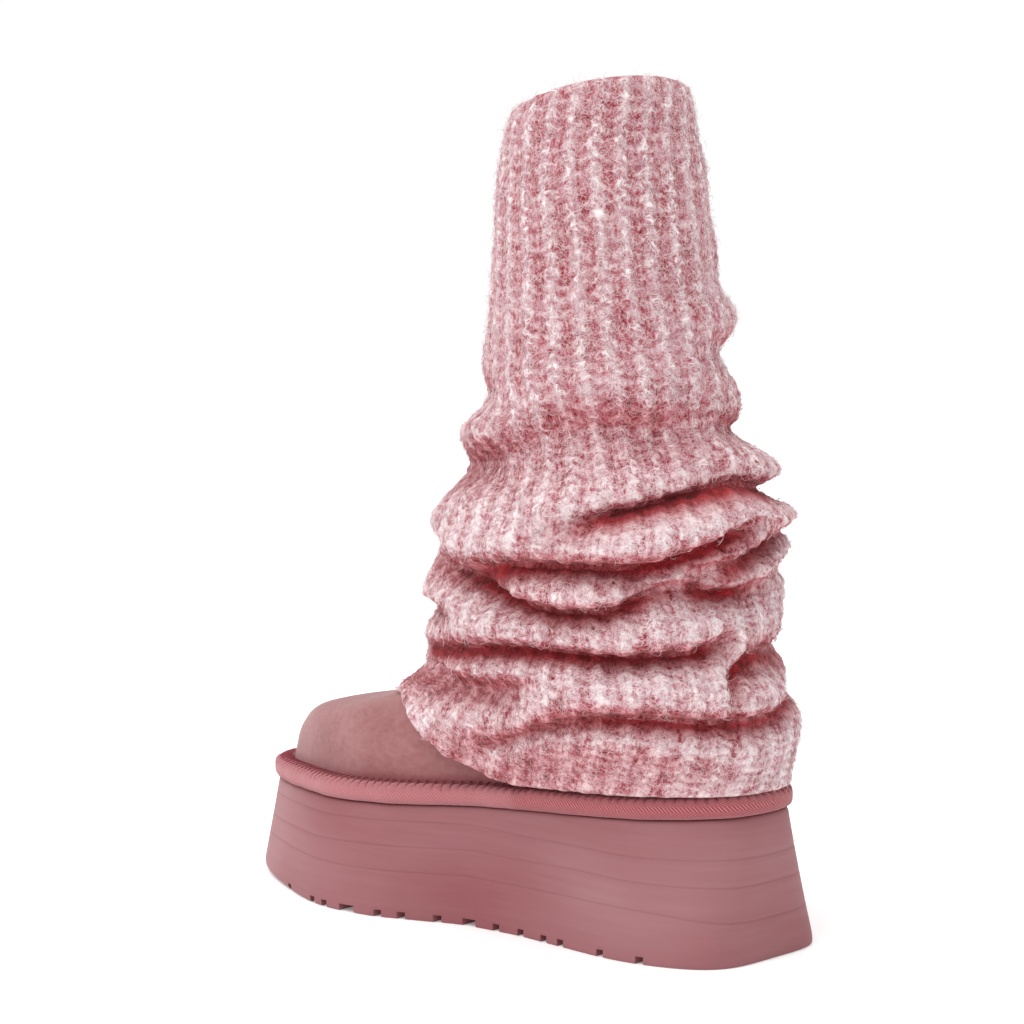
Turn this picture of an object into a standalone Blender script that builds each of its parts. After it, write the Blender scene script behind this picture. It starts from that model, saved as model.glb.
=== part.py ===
"""Right platform suede boot with a slouched knitted leg warmer, built in metres, +Z up, toe towards -Y.

Angles round the boot ("turn") start at the back of the heel and pass the inner (medial, +X) side
a quarter turn on, the toe at half a turn and the outer side at three quarters.
"""
import math

import bmesh
import bpy
import numpy as np

MM = 0.001
AROUND = 48                         # points round the upper, its tape and the insole
GAP = 0.3 * MM                      # clearance between pieces that meet

# Platform sole, a size EU 38 (foot length 240 mm)
SOLE_TOP_LENGTH = 268.7 * MM
SOLE_TOP_WIDTH = 100.9 * MM
SOLE_FLARE_HEEL = 4.2 * MM          # how far the ground outline stands behind the top outline
SOLE_FLARE_TOE = 5.7 * MM
SOLE_FLARE_SIDE = 9.6 * MM
SOLE_TOP_SHIFT = 1.39 * MM          # middle of the top outline, behind the origin
SOLE_LINE_SHIFT = -2.7 * MM         # middle line, towards the outer side
DECK_HEEL = 56.4 * MM               # height of the sole's top face at the heel
DECK_TOE = 40.2 * MM
DECK_SAG = 1.4 * MM
TOE_SPRING = 1.0 * MM
TOE_SPRING_FROM = 0.70              # share of the length, heel to toe
EDGE_HEEL = 0.8 * MM                # rounding under the lower edge
EDGE_TOE = 3.5 * MM
TOP_EDGE = 1.2 * MM                 # rounding of the top edge under the tape
GROOVE_DEPTH = 0.8 * MM
GROOVE_HALF = 1.1 * MM
TREAD_DEPTH = 2.8 * MM
CUT_BELOW = 4.0 * MM                # how far the tread's cutter reaches under the sole

# Rolled tape round the joint of sole and upper
TAPE_HEIGHT = 8.6 * MM
TAPE_THICKNESS = 7.4 * MM
TAPE_STANDS_OUT = 2.0 * MM          # beyond the sole's top edge
TAPE_JOIN_SHARE = 0.37
TAPE_JOIN_SWELL = 0.9 * MM

# Suede upper, laid inside the tape
UPPER_INSET = TAPE_THICKNESS - TAPE_STANDS_OUT + 1.5 * GAP
UPPER_LENGTH = SOLE_TOP_LENGTH - 2.0 * UPPER_INSET
UPPER_BALL_WIDTH = SOLE_TOP_WIDTH - 2.0 * UPPER_INSET
UPPER_HEIGHT = 104.0 * MM           # collar above the heel end of the deck
UPPER_WALL = 3.2 * MM
UPPER_HEEL_Y = SOLE_TOP_SHIFT + 0.5 * UPPER_LENGTH

# Sheepskin insole
INSOLE_THICKNESS = 7.0 * MM
INSOLE_MARGIN = 2.0 * MM

# Knitted leg warmer
KNIT_HEIGHT = 342.0 * MM            # rim at the back, above the ground
KNIT_WIDTH = 128.0 * MM             # the widest fold, across
KNIT_WALL = 4.6 * MM
KNIT_HEM_BACK = 8.6 * MM            # outer face of the hem, beyond the suede
KNIT_HEM_FRONT = 5.0 * MM
KNIT_ROOM = 1.2 * MM                # least air between folds and suede
KNIT_LIFT = 0.8 * MM                # hem above tape and suede
KNIT_RIM_STEP = 0.2 * MM            # how far the rim's inner edge lies below its outer edge
RIM_MEDIAL_TILT = 2.4 * MM

# Outline of the foot. Columns: share of the length, medial and lateral half width, shares of half the width
OUTLINE = (
    # share  medial lateral
    (0.00, 0.949, 0.949),
    (0.12, 0.925, 0.925),
    (0.27, 0.800, 0.845),
    (0.36, 0.745, 0.840),
    (0.44, 0.760, 0.860),
    (0.52, 0.890, 0.905),
    (0.60, 1.035, 0.965),
    (0.70, 1.105, 1.020),
    (0.85, 1.000, 0.980),
    (1.00, 0.907, 0.900),
)
# How square the ends are: power of the sine. Columns: level, heel, toe
ROUNDNESS_TOP = (0.714, 0.792)
ROUNDNESS_GROUND = (0.450, 0.764)

# Shallow lines round the sole. Columns: share of the length, height shares of the three lines
SIDE_LINES = (
    # share  upper  middle lower
    (0.00, 0.720, 0.530, 0.290),
    (0.12, 0.737, 0.560, 0.365),
    (0.27, 0.780, 0.600, 0.390),
    (0.36, 0.800, 0.605, 0.395),
    (0.46, 0.845, 0.630, 0.410),
    (0.60, 0.855, 0.630, 0.410),
    (0.80, 0.848, 0.616, 0.415),
    (1.00, 0.850, 0.610, 0.420),
)

# Gaps between the lugs. Columns: share of the length from the heel, width in millimetres
TREAD_GAPS = (
    (0.115, 3.4), (0.182, 3.4), (0.261, 3.4), (0.295, 3.4), (0.343, 3.4), (0.390, 3.4), (0.440, 6.6),
    (0.490, 3.4), (0.544, 3.4), (0.580, 3.4), (0.637, 8.0), (0.685, 3.4), (0.716, 3.4), (0.800, 3.4),
)

# Upper, one row for each section from the feather line to the collar.
# Columns: level, front and back as shares of the length from the heel, height of the front and of the
# back above the heel end of the deck as shares of the upper's height, half width as a share of half the
# ball width, share of the foot's outline kept (the rest is a plain oval)
UPPER_ROWS = (
    # level front   front_up back    back_up width  foot
    (0.0, 1.0000, -0.1500, 0.0000, 0.0040, 1.000, 1.00),
    (1.0, 0.9900, -0.0520, 0.0000, 0.1030, 1.000, 1.00),
    (2.0, 0.9800, 0.0220, -0.0010, 0.1980, 1.002, 0.98),
    (3.0, 0.9637, 0.0846, 0.0030, 0.2750, 0.985, 0.94),
    (4.0, 0.9451, 0.1322, 0.0090, 0.3520, 0.960, 0.88),
    (5.0, 0.9180, 0.1660, 0.0170, 0.4290, 0.935, 0.80),
    (6.0, 0.8733, 0.1930, 0.0270, 0.5010, 0.915, 0.70),
    (7.0, 0.8063, 0.2240, 0.0370, 0.5680, 0.905, 0.58),
    (8.0, 0.7255, 0.2700, 0.0460, 0.6350, 0.900, 0.45),
    (9.0, 0.6480, 0.3400, 0.0540, 0.6980, 0.900, 0.33),
    (10.0, 0.6026, 0.4440, 0.0610, 0.7600, 0.904, 0.22),
    (11.0, 0.5695, 0.5652, 0.0660, 0.8230, 0.912, 0.12),
    (12.0, 0.5404, 0.7020, 0.0700, 0.8860, 0.922, 0.05),
    (13.0, 0.5170, 0.8584, 0.0730, 0.9480, 0.930, 0.00),
    (14.0, 0.5004, 0.9970, 0.0750, 1.0060, 0.938, 0.00),
)

# Level of the knitted hem on the upper. Columns: share round from back to front, level
HEM_PATH = (
    (0.000, 0.87), (0.360, 0.89), (0.410, 1.14), (0.457, 1.59), (0.507, 2.05), (0.549, 2.85),
    (0.590, 4.00), (0.642, 5.45), (0.723, 6.80), (0.850, 7.90), (1.000, 8.40),
)

# Leg warmer without its folds, one row for each section from the hem to the rim.
# Columns: level, back and front in shares of the knit's width behind the origin, heights of the back
# and of the front as shares of the knit's height, half width as a share of half the knit's width,
# how far the row still follows the hem
KNIT_ROWS = (
    # level back    front   back_up front_up width  hem
    (0.00, 1.0630, -0.5000, 0.1950, 0.2500, 0.840, 1.00),
    (0.04, 1.0750, -0.3400, 0.2330, 0.2790, 0.885, 0.55),
    (0.08, 1.0830, -0.2700, 0.2690, 0.3010, 0.935, 0.12),
    (0.12, 1.0550, -0.2200, 0.3040, 0.3270, 0.945, 0.00),
    (0.17, 1.0306, -0.2000, 0.3420, 0.3540, 0.938, 0.00),
    (0.22, 1.0217, -0.2073, 0.3830, 0.3860, 0.938, 0.00),
    (0.27, 1.0200, -0.2050, 0.4270, 0.4270, 0.953, 0.00),
    (0.32, 1.0482, -0.1750, 0.4680, 0.4650, 0.992, 0.00),
    (0.36, 1.0515, -0.1670, 0.4970, 0.4910, 0.984, 0.00),
    (0.40, 1.0205, -0.1400, 0.5200, 0.5180, 0.922, 0.00),
    (0.44, 0.9800, -0.0990, 0.5470, 0.5440, 0.852, 0.00),
    (0.48, 0.9250, -0.0750, 0.5730, 0.5700, 0.805, 0.00),
    (0.52, 0.8800, -0.0460, 0.6020, 0.5940, 0.781, 0.00),
    (0.56, 0.8550, -0.0100, 0.6350, 0.6200, 0.758, 0.00),
    (0.61, 0.8180, 0.0140, 0.6730, 0.6550, 0.727, 0.00),
    (0.66, 0.8000, 0.0265, 0.7160, 0.6930, 0.719, 0.00),
    (0.73, 0.7755, 0.0400, 0.7750, 0.7430, 0.703, 0.00),
    (0.81, 0.7430, 0.0530, 0.8420, 0.8010, 0.672, 0.00),
    (0.88, 0.7200, 0.0630, 0.9010, 0.8570, 0.648, 0.00),
    (0.94, 0.6930, 0.0740, 0.9500, 0.9010, 0.602, 0.00),
    (0.975, 0.6800, 0.0880, 0.9800, 0.9300, 0.570, 0.00),
    (1.00, 0.6677, 0.1045, 1.0000, 0.9500, 0.539, 0.00),
)

# Folds of the knit, seen from behind the inner side unless named otherwise. Columns: turn of the middle
# and half span in degrees, height of the middle as a share of the knit's height, rise over the half span
# and bow of the ends in millimetres, then depth, half width and droop of the lip above it in millimetres
FOLDS = (
    # turn  span   height rise   bow  depth half droop
    (42.0, 95.0, 0.585, -12.0, -4.0, 4.5, 9.0, 0.0),    # broad valley under the upper roll
    (-62.0, 48.0, 0.585, -2.0, 0.0, 6.0, 6.0, 1.5),     # its notch at the back
    (152.0, 52.0, 0.548, 3.0, 0.0, 6.5, 6.0, 1.5),      # its notch at the front
    (32.0, 42.0, 0.537, -10.0, -2.0, 10.0, 4.8, 4.0),   # deep crease under the second roll
    (-62.0, 42.0, 0.527, 3.0, 0.0, 6.0, 4.5, 2.0),
    (40.0, 104.0, 0.452, -4.0, 4.0, 10.5, 5.2, 4.0),    # long crease round the ankle
    (15.0, 34.0, 0.476, -6.0, 0.0, 8.0, 5.5, 2.5),      # wedge that opens behind it
    (95.0, 40.0, 0.408, 7.0, -1.0, 10.0, 4.8, 4.0),     # lower crease, front part
    (47.0, 32.0, 0.409, -6.0, 0.0, 6.0, 4.5, 2.5),
    (20.0, 18.0, 0.418, 0.0, 0.0, 8.0, 4.2, 2.5),
    (-4.0, 28.0, 0.418, 0.0, 0.0, 4.5, 4.2, 1.5),
    (76.0, 64.0, 0.347, -1.0, 1.5, 9.0, 4.8, 4.0),      # crease over the heel
    (42.0, 24.0, 0.349, 0.0, 0.0, 5.0, 5.5, 1.5),
    (-12.0, 26.0, 0.342, -5.0, 0.0, 8.0, 6.5, 2.5),     # pocket at the back
    (102.0, 22.0, 0.290, 3.0, 0.0, 9.0, 7.5, 2.0),      # dimple over the instep
    (22.0, 68.0, 0.283, -5.0, -5.0, 6.5, 5.0, 3.5),     # lip above the flat hem band
    (215.0, 70.0, 0.497, 5.0, 4.0, 9.0, 5.5, 3.5),      # outer side, hidden in the photo
    (262.0, 62.0, 0.455, -6.0, 3.0, 9.0, 5.0, 3.5),
    (222.0, 58.0, 0.402, 5.0, -2.0, 9.0, 5.0, 3.5),
    (275.0, 60.0, 0.352, 4.0, 3.0, 9.0, 5.2, 3.5),
    (258.0, 66.0, 0.296, -3.0, -4.0, 7.0, 5.5, 3.0),
    (240.0, 60.0, 0.580, 3.0, 0.0, 5.0, 8.0, 1.0),
)


def curve(places, values, at):
    """Smooth curve through a table that never overshoots it: cubic pieces whose slopes are the
    harmonic means of the neighbouring chords."""
    x = np.asarray(places, float)
    y = np.asarray(values, float)
    at = np.asarray(at, float)
    step = np.diff(x)
    chord = np.diff(y) / step
    slope = np.zeros_like(y)
    slope[0] = chord[0]
    slope[-1] = chord[-1]
    same = chord[:-1] * chord[1:] > 0.0
    before = np.where(same, chord[:-1], 1.0)
    after = np.where(same, chord[1:], 1.0)
    first = 2.0 * step[1:] + step[:-1]
    second = step[1:] + 2.0 * step[:-1]
    slope[1:-1] = np.where(same, (first + second) / (first / before + second / after), 0.0)
    cell = np.clip(np.searchsorted(x, at, side="right") - 1, 0, len(step) - 1)
    u = np.clip((at - x[cell]) / step[cell], 0.0, 1.0)
    rise = (1.0 - 2.0 * u + u * u) * u * step[cell] * slope[cell]
    fall = (u - 1.0) * u * u * step[cell] * slope[cell + 1]
    return y[cell] * (1.0 + 2.0 * u) * (1.0 - u) ** 2 + y[cell + 1] * u * u * (3.0 - 2.0 * u) + rise + fall


def column(table, index):
    """One column of a table."""
    return [row[index] for row in table]


def from_table(table, index, at):
    """Column of a table, read as a smooth curve over its first column."""
    return curve(column(table, 0), column(table, index), at)


def turns(count):
    """Even angles round the boot, starting at the back of the heel."""
    return np.arange(count) * 2.0 * math.pi / count


def smooth_step(value):
    """Rises from 0 to 1 with level ends."""
    u = np.clip(value, 0.0, 1.0)
    return u * u * (3.0 - 2.0 * u)


def deck_height(share):
    """Height of the sole's top face at a share of its length from the heel: a slope with a slight sag."""
    return DECK_HEEL + (DECK_TOE - DECK_HEEL) * share - DECK_SAG * np.sin(math.pi * share)


def deck_at(y):
    """Height of the sole's top face at a distance behind the origin."""
    heel = SOLE_TOP_SHIFT + 0.5 * SOLE_TOP_LENGTH
    return deck_height(np.clip((heel - y) / SOLE_TOP_LENGTH, -0.02, 1.02))


def ground_height(share):
    """Underside of the sole: flat, then the toe spring rising with the square of the way to the toe."""
    past = np.clip((share - TOE_SPRING_FROM) / (1.0 - TOE_SPRING_FROM), 0.0, 1.0)
    return TOE_SPRING * past ** 2


def outline(turn, grow_heel, grow_toe, grow_side, roundness):
    """Plan outline of the foot: the length falls with the cosine of the turn, the half width follows
    the outline table times a power of the sine. Returns x, y and the share of the length."""
    share = 0.5 * (1.0 - np.cos(turn))
    power = roundness[0] + (roundness[1] - roundness[0]) * share
    medial = from_table(OUTLINE, 1, share)
    lateral = -from_table(OUTLINE, 2, share)
    side = np.where(np.sin(turn) >= 0.0, medial, lateral)
    half = 0.5 * SOLE_TOP_WIDTH + grow_side
    x = SOLE_LINE_SHIFT + side * np.abs(np.sin(turn)) ** power * half
    back = SOLE_TOP_SHIFT + 0.5 * SOLE_TOP_LENGTH + grow_heel
    length = SOLE_TOP_LENGTH + grow_heel + grow_toe
    return x, back - length * share, share


def inset_outline(turn, inset, share_up):
    """Outline of the sole's side wall at a share of its height (1 is the top), moved inwards by an inset."""
    down = 1.0 - share_up
    heel = SOLE_FLARE_HEEL * down - inset
    toe = SOLE_FLARE_TOE * down - inset
    side = SOLE_FLARE_SIDE * down - inset
    blend = [g * down + t * share_up for g, t in zip(ROUNDNESS_GROUND, ROUNDNESS_TOP)]
    return outline(turn, heel, toe, side, blend)


def make_object(name, points, faces, colour, roughness, metallic=0.0):
    """Mesh object with its own material."""
    mesh = bpy.data.meshes.new(name)
    mesh.from_pydata([tuple(p) for p in points], [], faces)
    body = bpy.data.objects.new(name, mesh)
    bpy.context.scene.collection.objects.link(body)
    paint = bpy.data.materials.new(name + "_material")
    paint.use_nodes = True
    shader = paint.node_tree.nodes["Principled BSDF"]
    shader.inputs["Base Color"].default_value = colour
    shader.inputs["Roughness"].default_value = roughness
    shader.inputs["Metallic"].default_value = metallic
    mesh.materials.append(paint)
    tidy_normals(mesh)
    return body


def tidy_normals(mesh):
    """Face normals outwards."""
    work = bmesh.new()
    work.from_mesh(mesh)
    bmesh.ops.recalc_face_normals(work, faces=work.faces)
    work.to_mesh(mesh)
    work.free()


def wall_faces(rows, count, start=0):
    """Quads between closed rings that follow each other."""
    faces = []
    for row in range(rows - 1):
        for i in range(count):
            a = start + row * count + i
            b = start + row * count + (i + 1) % count
            faces.append((a, b, b + count, a + count))
    return faces


def bridge_faces(first, second, count):
    """Quads between two rings given by their first vertices."""
    return [(first + i, first + (i + 1) % count, second + (i + 1) % count, second + i) for i in range(count)]


def strip_cap(first, count):
    """Face strips across a ring whose opposite points lie at the same length: a cap that follows it."""
    faces = [(first, first + 1, first + count - 1)]
    half = count // 2
    for i in range(1, half - 1):
        faces.append((first + i, first + i + 1, first + count - i - 1, first + count - i))
    faces.append((first + half - 1, first + half, first + half + 1))
    return faces


def sole_ring(turn, share_up, inset):
    """One ring of the sole's side wall; heights run between the ground line and the deck."""
    x, y, share = inset_outline(turn, inset, share_up)
    low = ground_height(share)
    top = deck_height(share) * (share_up < 1.0) + deck_at(y) * (share_up >= 1.0)
    z = low + (top - low) * share_up
    return np.stack([x, y, z], axis=1)


def build_sole():
    """Moulded platform: rounded edges, flared wall with three shallow lines, lugs cut underneath."""
    count = 60
    turn = turns(count)
    share = 0.5 * (1.0 - np.cos(turn))
    under = EDGE_HEEL + (EDGE_TOE - EDGE_HEEL) * smooth_step((share - 0.6) / 0.4)
    rings = [sole_ring(turn, up, under * part) for up, part in ((0.0, 1.0), (0.022, 0.42), (0.08, 0.06))]
    for index in (3, 2, 1):
        middle = from_table(SIDE_LINES, index, share)
        reach = GROOVE_HALF / DECK_HEEL
        rings.append(sole_ring(turn, middle - reach, 0.0))
        rings.append(sole_ring(turn, middle, GROOVE_DEPTH))
        rings.append(sole_ring(turn, middle + reach, 0.0))
    rings += [sole_ring(turn, 0.975, 0.0), sole_ring(turn, 1.0, TOP_EDGE)]
    points = np.concatenate(rings)
    faces = wall_faces(len(rings), count)
    faces += strip_cap(0, count) + strip_cap((len(rings) - 1) * count, count)
    sole = make_object("platform_sole", points, faces, (0.36, 0.13, 0.14, 1.0), 0.72)
    cut_tread(sole)
    return sole


def cut_tread(sole):
    """Channels between the lugs, cut right across the underside."""
    reach = 0.5 * SOLE_TOP_WIDTH + 2.0 * SOLE_FLARE_SIDE
    back = SOLE_TOP_SHIFT + 0.5 * SOLE_TOP_LENGTH + SOLE_FLARE_HEEL
    length = SOLE_TOP_LENGTH + SOLE_FLARE_HEEL + SOLE_FLARE_TOE
    points = []
    faces = []
    for share, width in TREAD_GAPS:
        y = back - length * share
        top = float(ground_height(share)) + TREAD_DEPTH
        add_box(points, faces, (-reach, y - 0.5 * width * MM, -CUT_BELOW), (reach, y + 0.5 * width * MM, top))
    cutter = make_object("tread_cutter", points, faces, (0.5, 0.5, 0.5, 1.0), 0.5)
    cutter.hide_render = True
    cutter.display_type = "WIRE"
    cut = sole.modifiers.new("tread", "BOOLEAN")
    cut.operation = "DIFFERENCE"
    cut.solver = "EXACT"
    cut.object = cutter
    apply_modifiers(sole)
    bpy.data.objects.remove(cutter, do_unlink=True)


def add_box(points, faces, low, high):
    """Box between two corners, added to the lists."""
    start = len(points)
    for z in (low[2], high[2]):
        points += [(low[0], low[1], z), (high[0], low[1], z), (high[0], high[1], z), (low[0], high[1], z)]
    for quad in ((3, 2, 1, 0), (4, 5, 6, 7), (0, 1, 5, 4), (1, 2, 6, 5), (2, 3, 7, 6), (3, 0, 4, 7)):
        faces.append(tuple(start + corner for corner in quad))


def apply_modifiers(body):
    """Replace the mesh with its evaluated form."""
    graph = bpy.context.evaluated_depsgraph_get()
    done = bpy.data.meshes.new_from_object(body.evaluated_get(graph))
    old = body.data
    body.modifiers.clear()
    body.data = done
    done.name = old.name + "_cut"
    bpy.data.meshes.remove(old)


def build_tape():
    """Twill tape rolled round the joint: a rounded section swept along the top outline, swollen where
    its ends are tucked in."""
    count = AROUND
    turn = turns(count)
    corner = 1.6 * MM
    half = 0.5 * TAPE_THICKNESS
    tall = 0.5 * TAPE_HEIGHT
    section = []
    for sx, sz in ((1, -1), (1, 1), (-1, 1), (-1, -1)):
        first = (sx * half, sz * (tall - corner * 1.4))
        second = (sx * (half - corner), sz * tall)
        section += [first, second] if sx * sz > 0 else [second, first]
    rings = []
    share = 0.5 * (1.0 - np.cos(turn))
    near = np.exp(-((share - TAPE_JOIN_SHARE) / 0.022) ** 2) * (np.sin(turn) > 0.0)
    swell = TAPE_JOIN_SWELL * near
    for dx, dz in section:
        inset = -(TAPE_STANDS_OUT - half) - dx
        out = 1.0 if dx > 0 else 0.0
        x, y, _ = outline(turn, -inset, -inset, -inset, ROUNDNESS_TOP)
        x = x + swell * out
        z = deck_at(y) + GAP + tall + dz + swell * (1.0 if dz > 0 else 0.0) * 0.6
        rings.append(np.stack([x, y, z], axis=1))
    points = np.concatenate(rings)
    faces = wall_faces(len(rings), count)
    faces += bridge_faces((len(rings) - 1) * count, 0, count)
    return make_object("welt_tape", points, faces, (0.42, 0.12, 0.14, 1.0), 0.85)


def upper_surface(level, turn, inset=0.0):
    """Outside of the suede upper at a level (0 feather line, 14 collar) and a turn. Each level is one
    slanted plane between its front and back points; its half width goes from the foot's outline to a
    plain oval as it climbs."""
    level, turn = np.broadcast_arrays(np.asarray(level, float), np.asarray(turn, float))
    share = 0.5 * (1.0 - np.cos(turn))
    front = UPPER_HEEL_Y - UPPER_LENGTH * from_table(UPPER_ROWS, 1, level) + inset
    back = UPPER_HEEL_Y - UPPER_LENGTH * from_table(UPPER_ROWS, 3, level) - inset
    y = back + (front - back) * share
    along = (UPPER_HEEL_Y - y) / UPPER_LENGTH
    foot = from_table(UPPER_ROWS, 6, level)
    medial = from_table(OUTLINE, 1, along)
    lateral = from_table(OUTLINE, 2, along)
    table = np.where(np.sin(turn) >= 0.0, medial, lateral)
    side = foot * table + (1.0 - foot)
    half = 0.5 * UPPER_BALL_WIDTH * from_table(UPPER_ROWS, 5, level) * side - inset
    power = (ROUNDNESS_TOP[0] + (ROUNDNESS_TOP[1] - ROUNDNESS_TOP[0]) * share) * foot + (1.0 - foot) * 0.96
    x = np.sign(np.sin(turn)) * np.abs(np.sin(turn)) ** power * half + SOLE_LINE_SHIFT * foot
    low = DECK_HEEL + UPPER_HEIGHT * from_table(UPPER_ROWS, 4, level)
    high = DECK_HEEL + UPPER_HEIGHT * from_table(UPPER_ROWS, 2, level)
    plane = low + (high - low) * share - DECK_SAG * foot * np.sin(math.pi * share)
    bottom = smooth_step(1.0 - level)
    z = plane * (1.0 - bottom) + (deck_at(y) + GAP) * bottom
    return np.stack([x, y, z], axis=-1)


def surface_normals(grid):
    """Unit normals of a grid of points whose columns close round the boot, pointing away from it."""
    across = np.roll(grid, -1, axis=1) - np.roll(grid, 1, axis=1)
    along = np.gradient(grid, axis=0)
    normal = np.cross(across, along)
    normal /= np.maximum(np.linalg.norm(normal, axis=-1, keepdims=True), 1e-12)
    middle = grid.mean(axis=1, keepdims=True)
    outward = np.sum(normal * (grid - middle), axis=-1)
    return normal * np.sign(np.sum(outward))


def tube_solid(name, outer, inner, colour, roughness):
    """Hollow solid between an outer and an inner grid, closed at its lower and upper edges."""
    rows, count = outer.shape[:2]
    deep = inner.shape[0]
    points = np.concatenate([outer.reshape(-1, 3), inner.reshape(-1, 3)])
    start = rows * count
    faces = wall_faces(rows, count) + wall_faces(deep, count, start)
    faces += bridge_faces(0, start, count)
    faces += bridge_faces((rows - 1) * count, start + (deep - 1) * count, count)
    return make_object(name, points, faces, colour, roughness)


def build_upper():
    """Suede bootie on its last: one hollow wall, open at the collar and underneath."""
    count = AROUND
    turn = turns(count)
    levels = np.array([0, 1, 1.6, 2.2, 2.8, 3.4, 4, 4.7, 5.4, 6.2, 7, 8, 9, 10.2, 11.5, 12.8, 14.0])
    outer = upper_surface(levels[:, None], turn[None, :])
    inner = outer - surface_normals(outer) * UPPER_WALL
    inner[0, :, 2] = outer[0, :, 2]
    inner[-1, :, 2] = outer[-1, :, 2]
    inner = inner[::2]
    return tube_solid("suede_upper", outer, inner, (0.40, 0.13, 0.14, 1.0), 0.95)


def build_insole():
    """Sheepskin insole on the deck, its top edge rounded."""
    count = AROUND
    turn = turns(count)
    base = UPPER_INSET + UPPER_WALL + INSOLE_MARGIN
    rings = []
    for up, inset in ((0.0, 0.0), (0.6, -0.3), (1.0, 2.4)):
        grow = -(base + inset * MM)
        x, y, _ = outline(turn, grow, grow, grow, ROUNDNESS_TOP)
        z = deck_at(y) + GAP + INSOLE_THICKNESS * up
        rings.append(np.stack([x, y, z], axis=1))
    points = np.concatenate(rings)
    faces = wall_faces(3, count) + strip_cap(0, count) + strip_cap(2 * count, count)
    return make_object("insole", points, faces, (0.62, 0.42, 0.40, 1.0), 0.95)


def knit_base(level, turn):
    """Leg warmer without folds at a level (0 hem, 1 rim): near the hem it follows the upper, above it
    each level is one slanted oval between its front and back points."""
    level, turn = np.broadcast_arrays(np.asarray(level, float), np.asarray(turn, float))
    share = 0.5 * (1.0 - np.cos(turn))
    back = KNIT_WIDTH * from_table(KNIT_ROWS, 1, level)
    front = KNIT_WIDTH * from_table(KNIT_ROWS, 2, level)
    low = KNIT_HEIGHT * from_table(KNIT_ROWS, 3, level)
    high = KNIT_HEIGHT * from_table(KNIT_ROWS, 4, level)
    half = 0.5 * KNIT_WIDTH * from_table(KNIT_ROWS, 5, level)
    power = 0.80 + 0.20 * smooth_step(level / 0.30)
    x = np.sign(np.sin(turn)) * np.abs(np.sin(turn)) ** power * half
    y = back + (front - back) * share
    z = low + (high - low) * share + RIM_MEDIAL_TILT * np.sin(turn) * smooth_step((level - 0.7) / 0.3)
    tube = np.stack([x, y, z], axis=-1)
    hem = hem_surface(level, turn, hem_thickness(turn))
    follow = from_table(KNIT_ROWS, 6, level)[..., None]
    return tube * (1.0 - follow) + hem * follow


def hem_thickness(turn):
    """Outer face of the hem above the suede: full at the heel, thinner over the vamp."""
    share = 0.5 * (1.0 - np.cos(turn))
    return KNIT_HEM_BACK + (KNIT_HEM_FRONT - KNIT_HEM_BACK) * smooth_step((share - 0.35) / 0.4)


def hem_surface(level, turn, thick):
    """Points over the upper along the hem's path, held off the suede by a thickness."""
    share = 0.5 * (1.0 - np.cos(turn))
    place = from_table(HEM_PATH, 1, share) + 14.0 * level
    step = 0.05
    here = upper_surface(place, turn)
    across = upper_surface(place, turn + step) - upper_surface(place, turn - step)
    along = upper_surface(place + step, turn) - upper_surface(place - step, turn)
    normal = np.cross(along, across)
    normal /= np.maximum(np.linalg.norm(normal, axis=-1, keepdims=True), 1e-12)
    return here + normal * np.asarray(thick)[..., None]


def fold_shift(height, turn):
    """Radial and vertical shift of the folds at a height and a turn. Each row is a crease along a
    bowed line: a trough with a ridge above it that droops over it, fading at its ends."""
    inward = np.zeros_like(height)
    down = np.zeros_like(height)
    for middle, span, place, rise, bow, depth, half, droop in FOLDS:
        away = np.degrees(np.angle(np.exp(1j * (turn - math.radians(middle))))) / span
        fade = smooth_step(1.25 * (1.0 - np.abs(away))) * (np.abs(away) < 1.0)
        line = KNIT_HEIGHT * place + MM * (rise * away + bow * away ** 2)
        up = (height - line) / (half * MM)
        inward += fade * depth * MM * np.exp(-up ** 2)
        down += fade * droop * MM * np.exp(-((up - 1.1) / 1.0) ** 2)
    return inward, down


def room_over_upper(points):
    """Distance from each point to the nearest of an even grid of points on the upper."""
    grid = upper_surface(np.linspace(0.0, 14.0, 57)[:, None], turns(72)[None, :]).reshape(-1, 3)
    flat = points.reshape(-1, 3)
    room = np.empty(len(flat))
    for start in range(0, len(flat), 400):
        part = flat[start:start + 400]
        square = ((part[:, None, :] - grid[None, :, :]) ** 2).sum(axis=2)
        room[start:start + 400] = np.sqrt(square.min(axis=1))
    return room.reshape(points.shape[:-1])


def settled_folds(base, turn):
    """Folds on the base, no deeper than the boot inside leaves room for."""
    inward, down = fold_shift(base[..., 2], turn)
    room = np.maximum(room_over_upper(base) - KNIT_WALL - KNIT_ROOM, 0.0)
    held = np.minimum(inward, room)
    return held, down * np.where(inward > 0.0, 0.5 + 0.5 * held / np.maximum(inward, 1e-9), 1.0)


def knit_surface(level, turn):
    """Leg warmer with its folds: the base moved towards its own middle line and down."""
    base = knit_base(level, turn)
    turn = np.broadcast_to(turn, base.shape[:-1])
    inward, down = settled_folds(base, turn)
    middle = base.mean(axis=1, keepdims=True)
    away = base - middle
    away[..., 2] = 0.0
    away /= np.maximum(np.linalg.norm(away, axis=-1, keepdims=True), 1e-12)
    moved = base - away * inward[..., None]
    moved[..., 2] -= down
    return moved


def knit_inside(level, turn):
    """Inner face of the knit: the base with its folds at a share of their depth, one wall further in."""
    base = knit_base(level, turn)
    turn = np.broadcast_to(turn, base.shape[:-1])
    inward, _ = settled_folds(base, turn)
    return base - surface_normals(base) * (KNIT_WALL + 0.8 * inward)[..., None]


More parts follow.
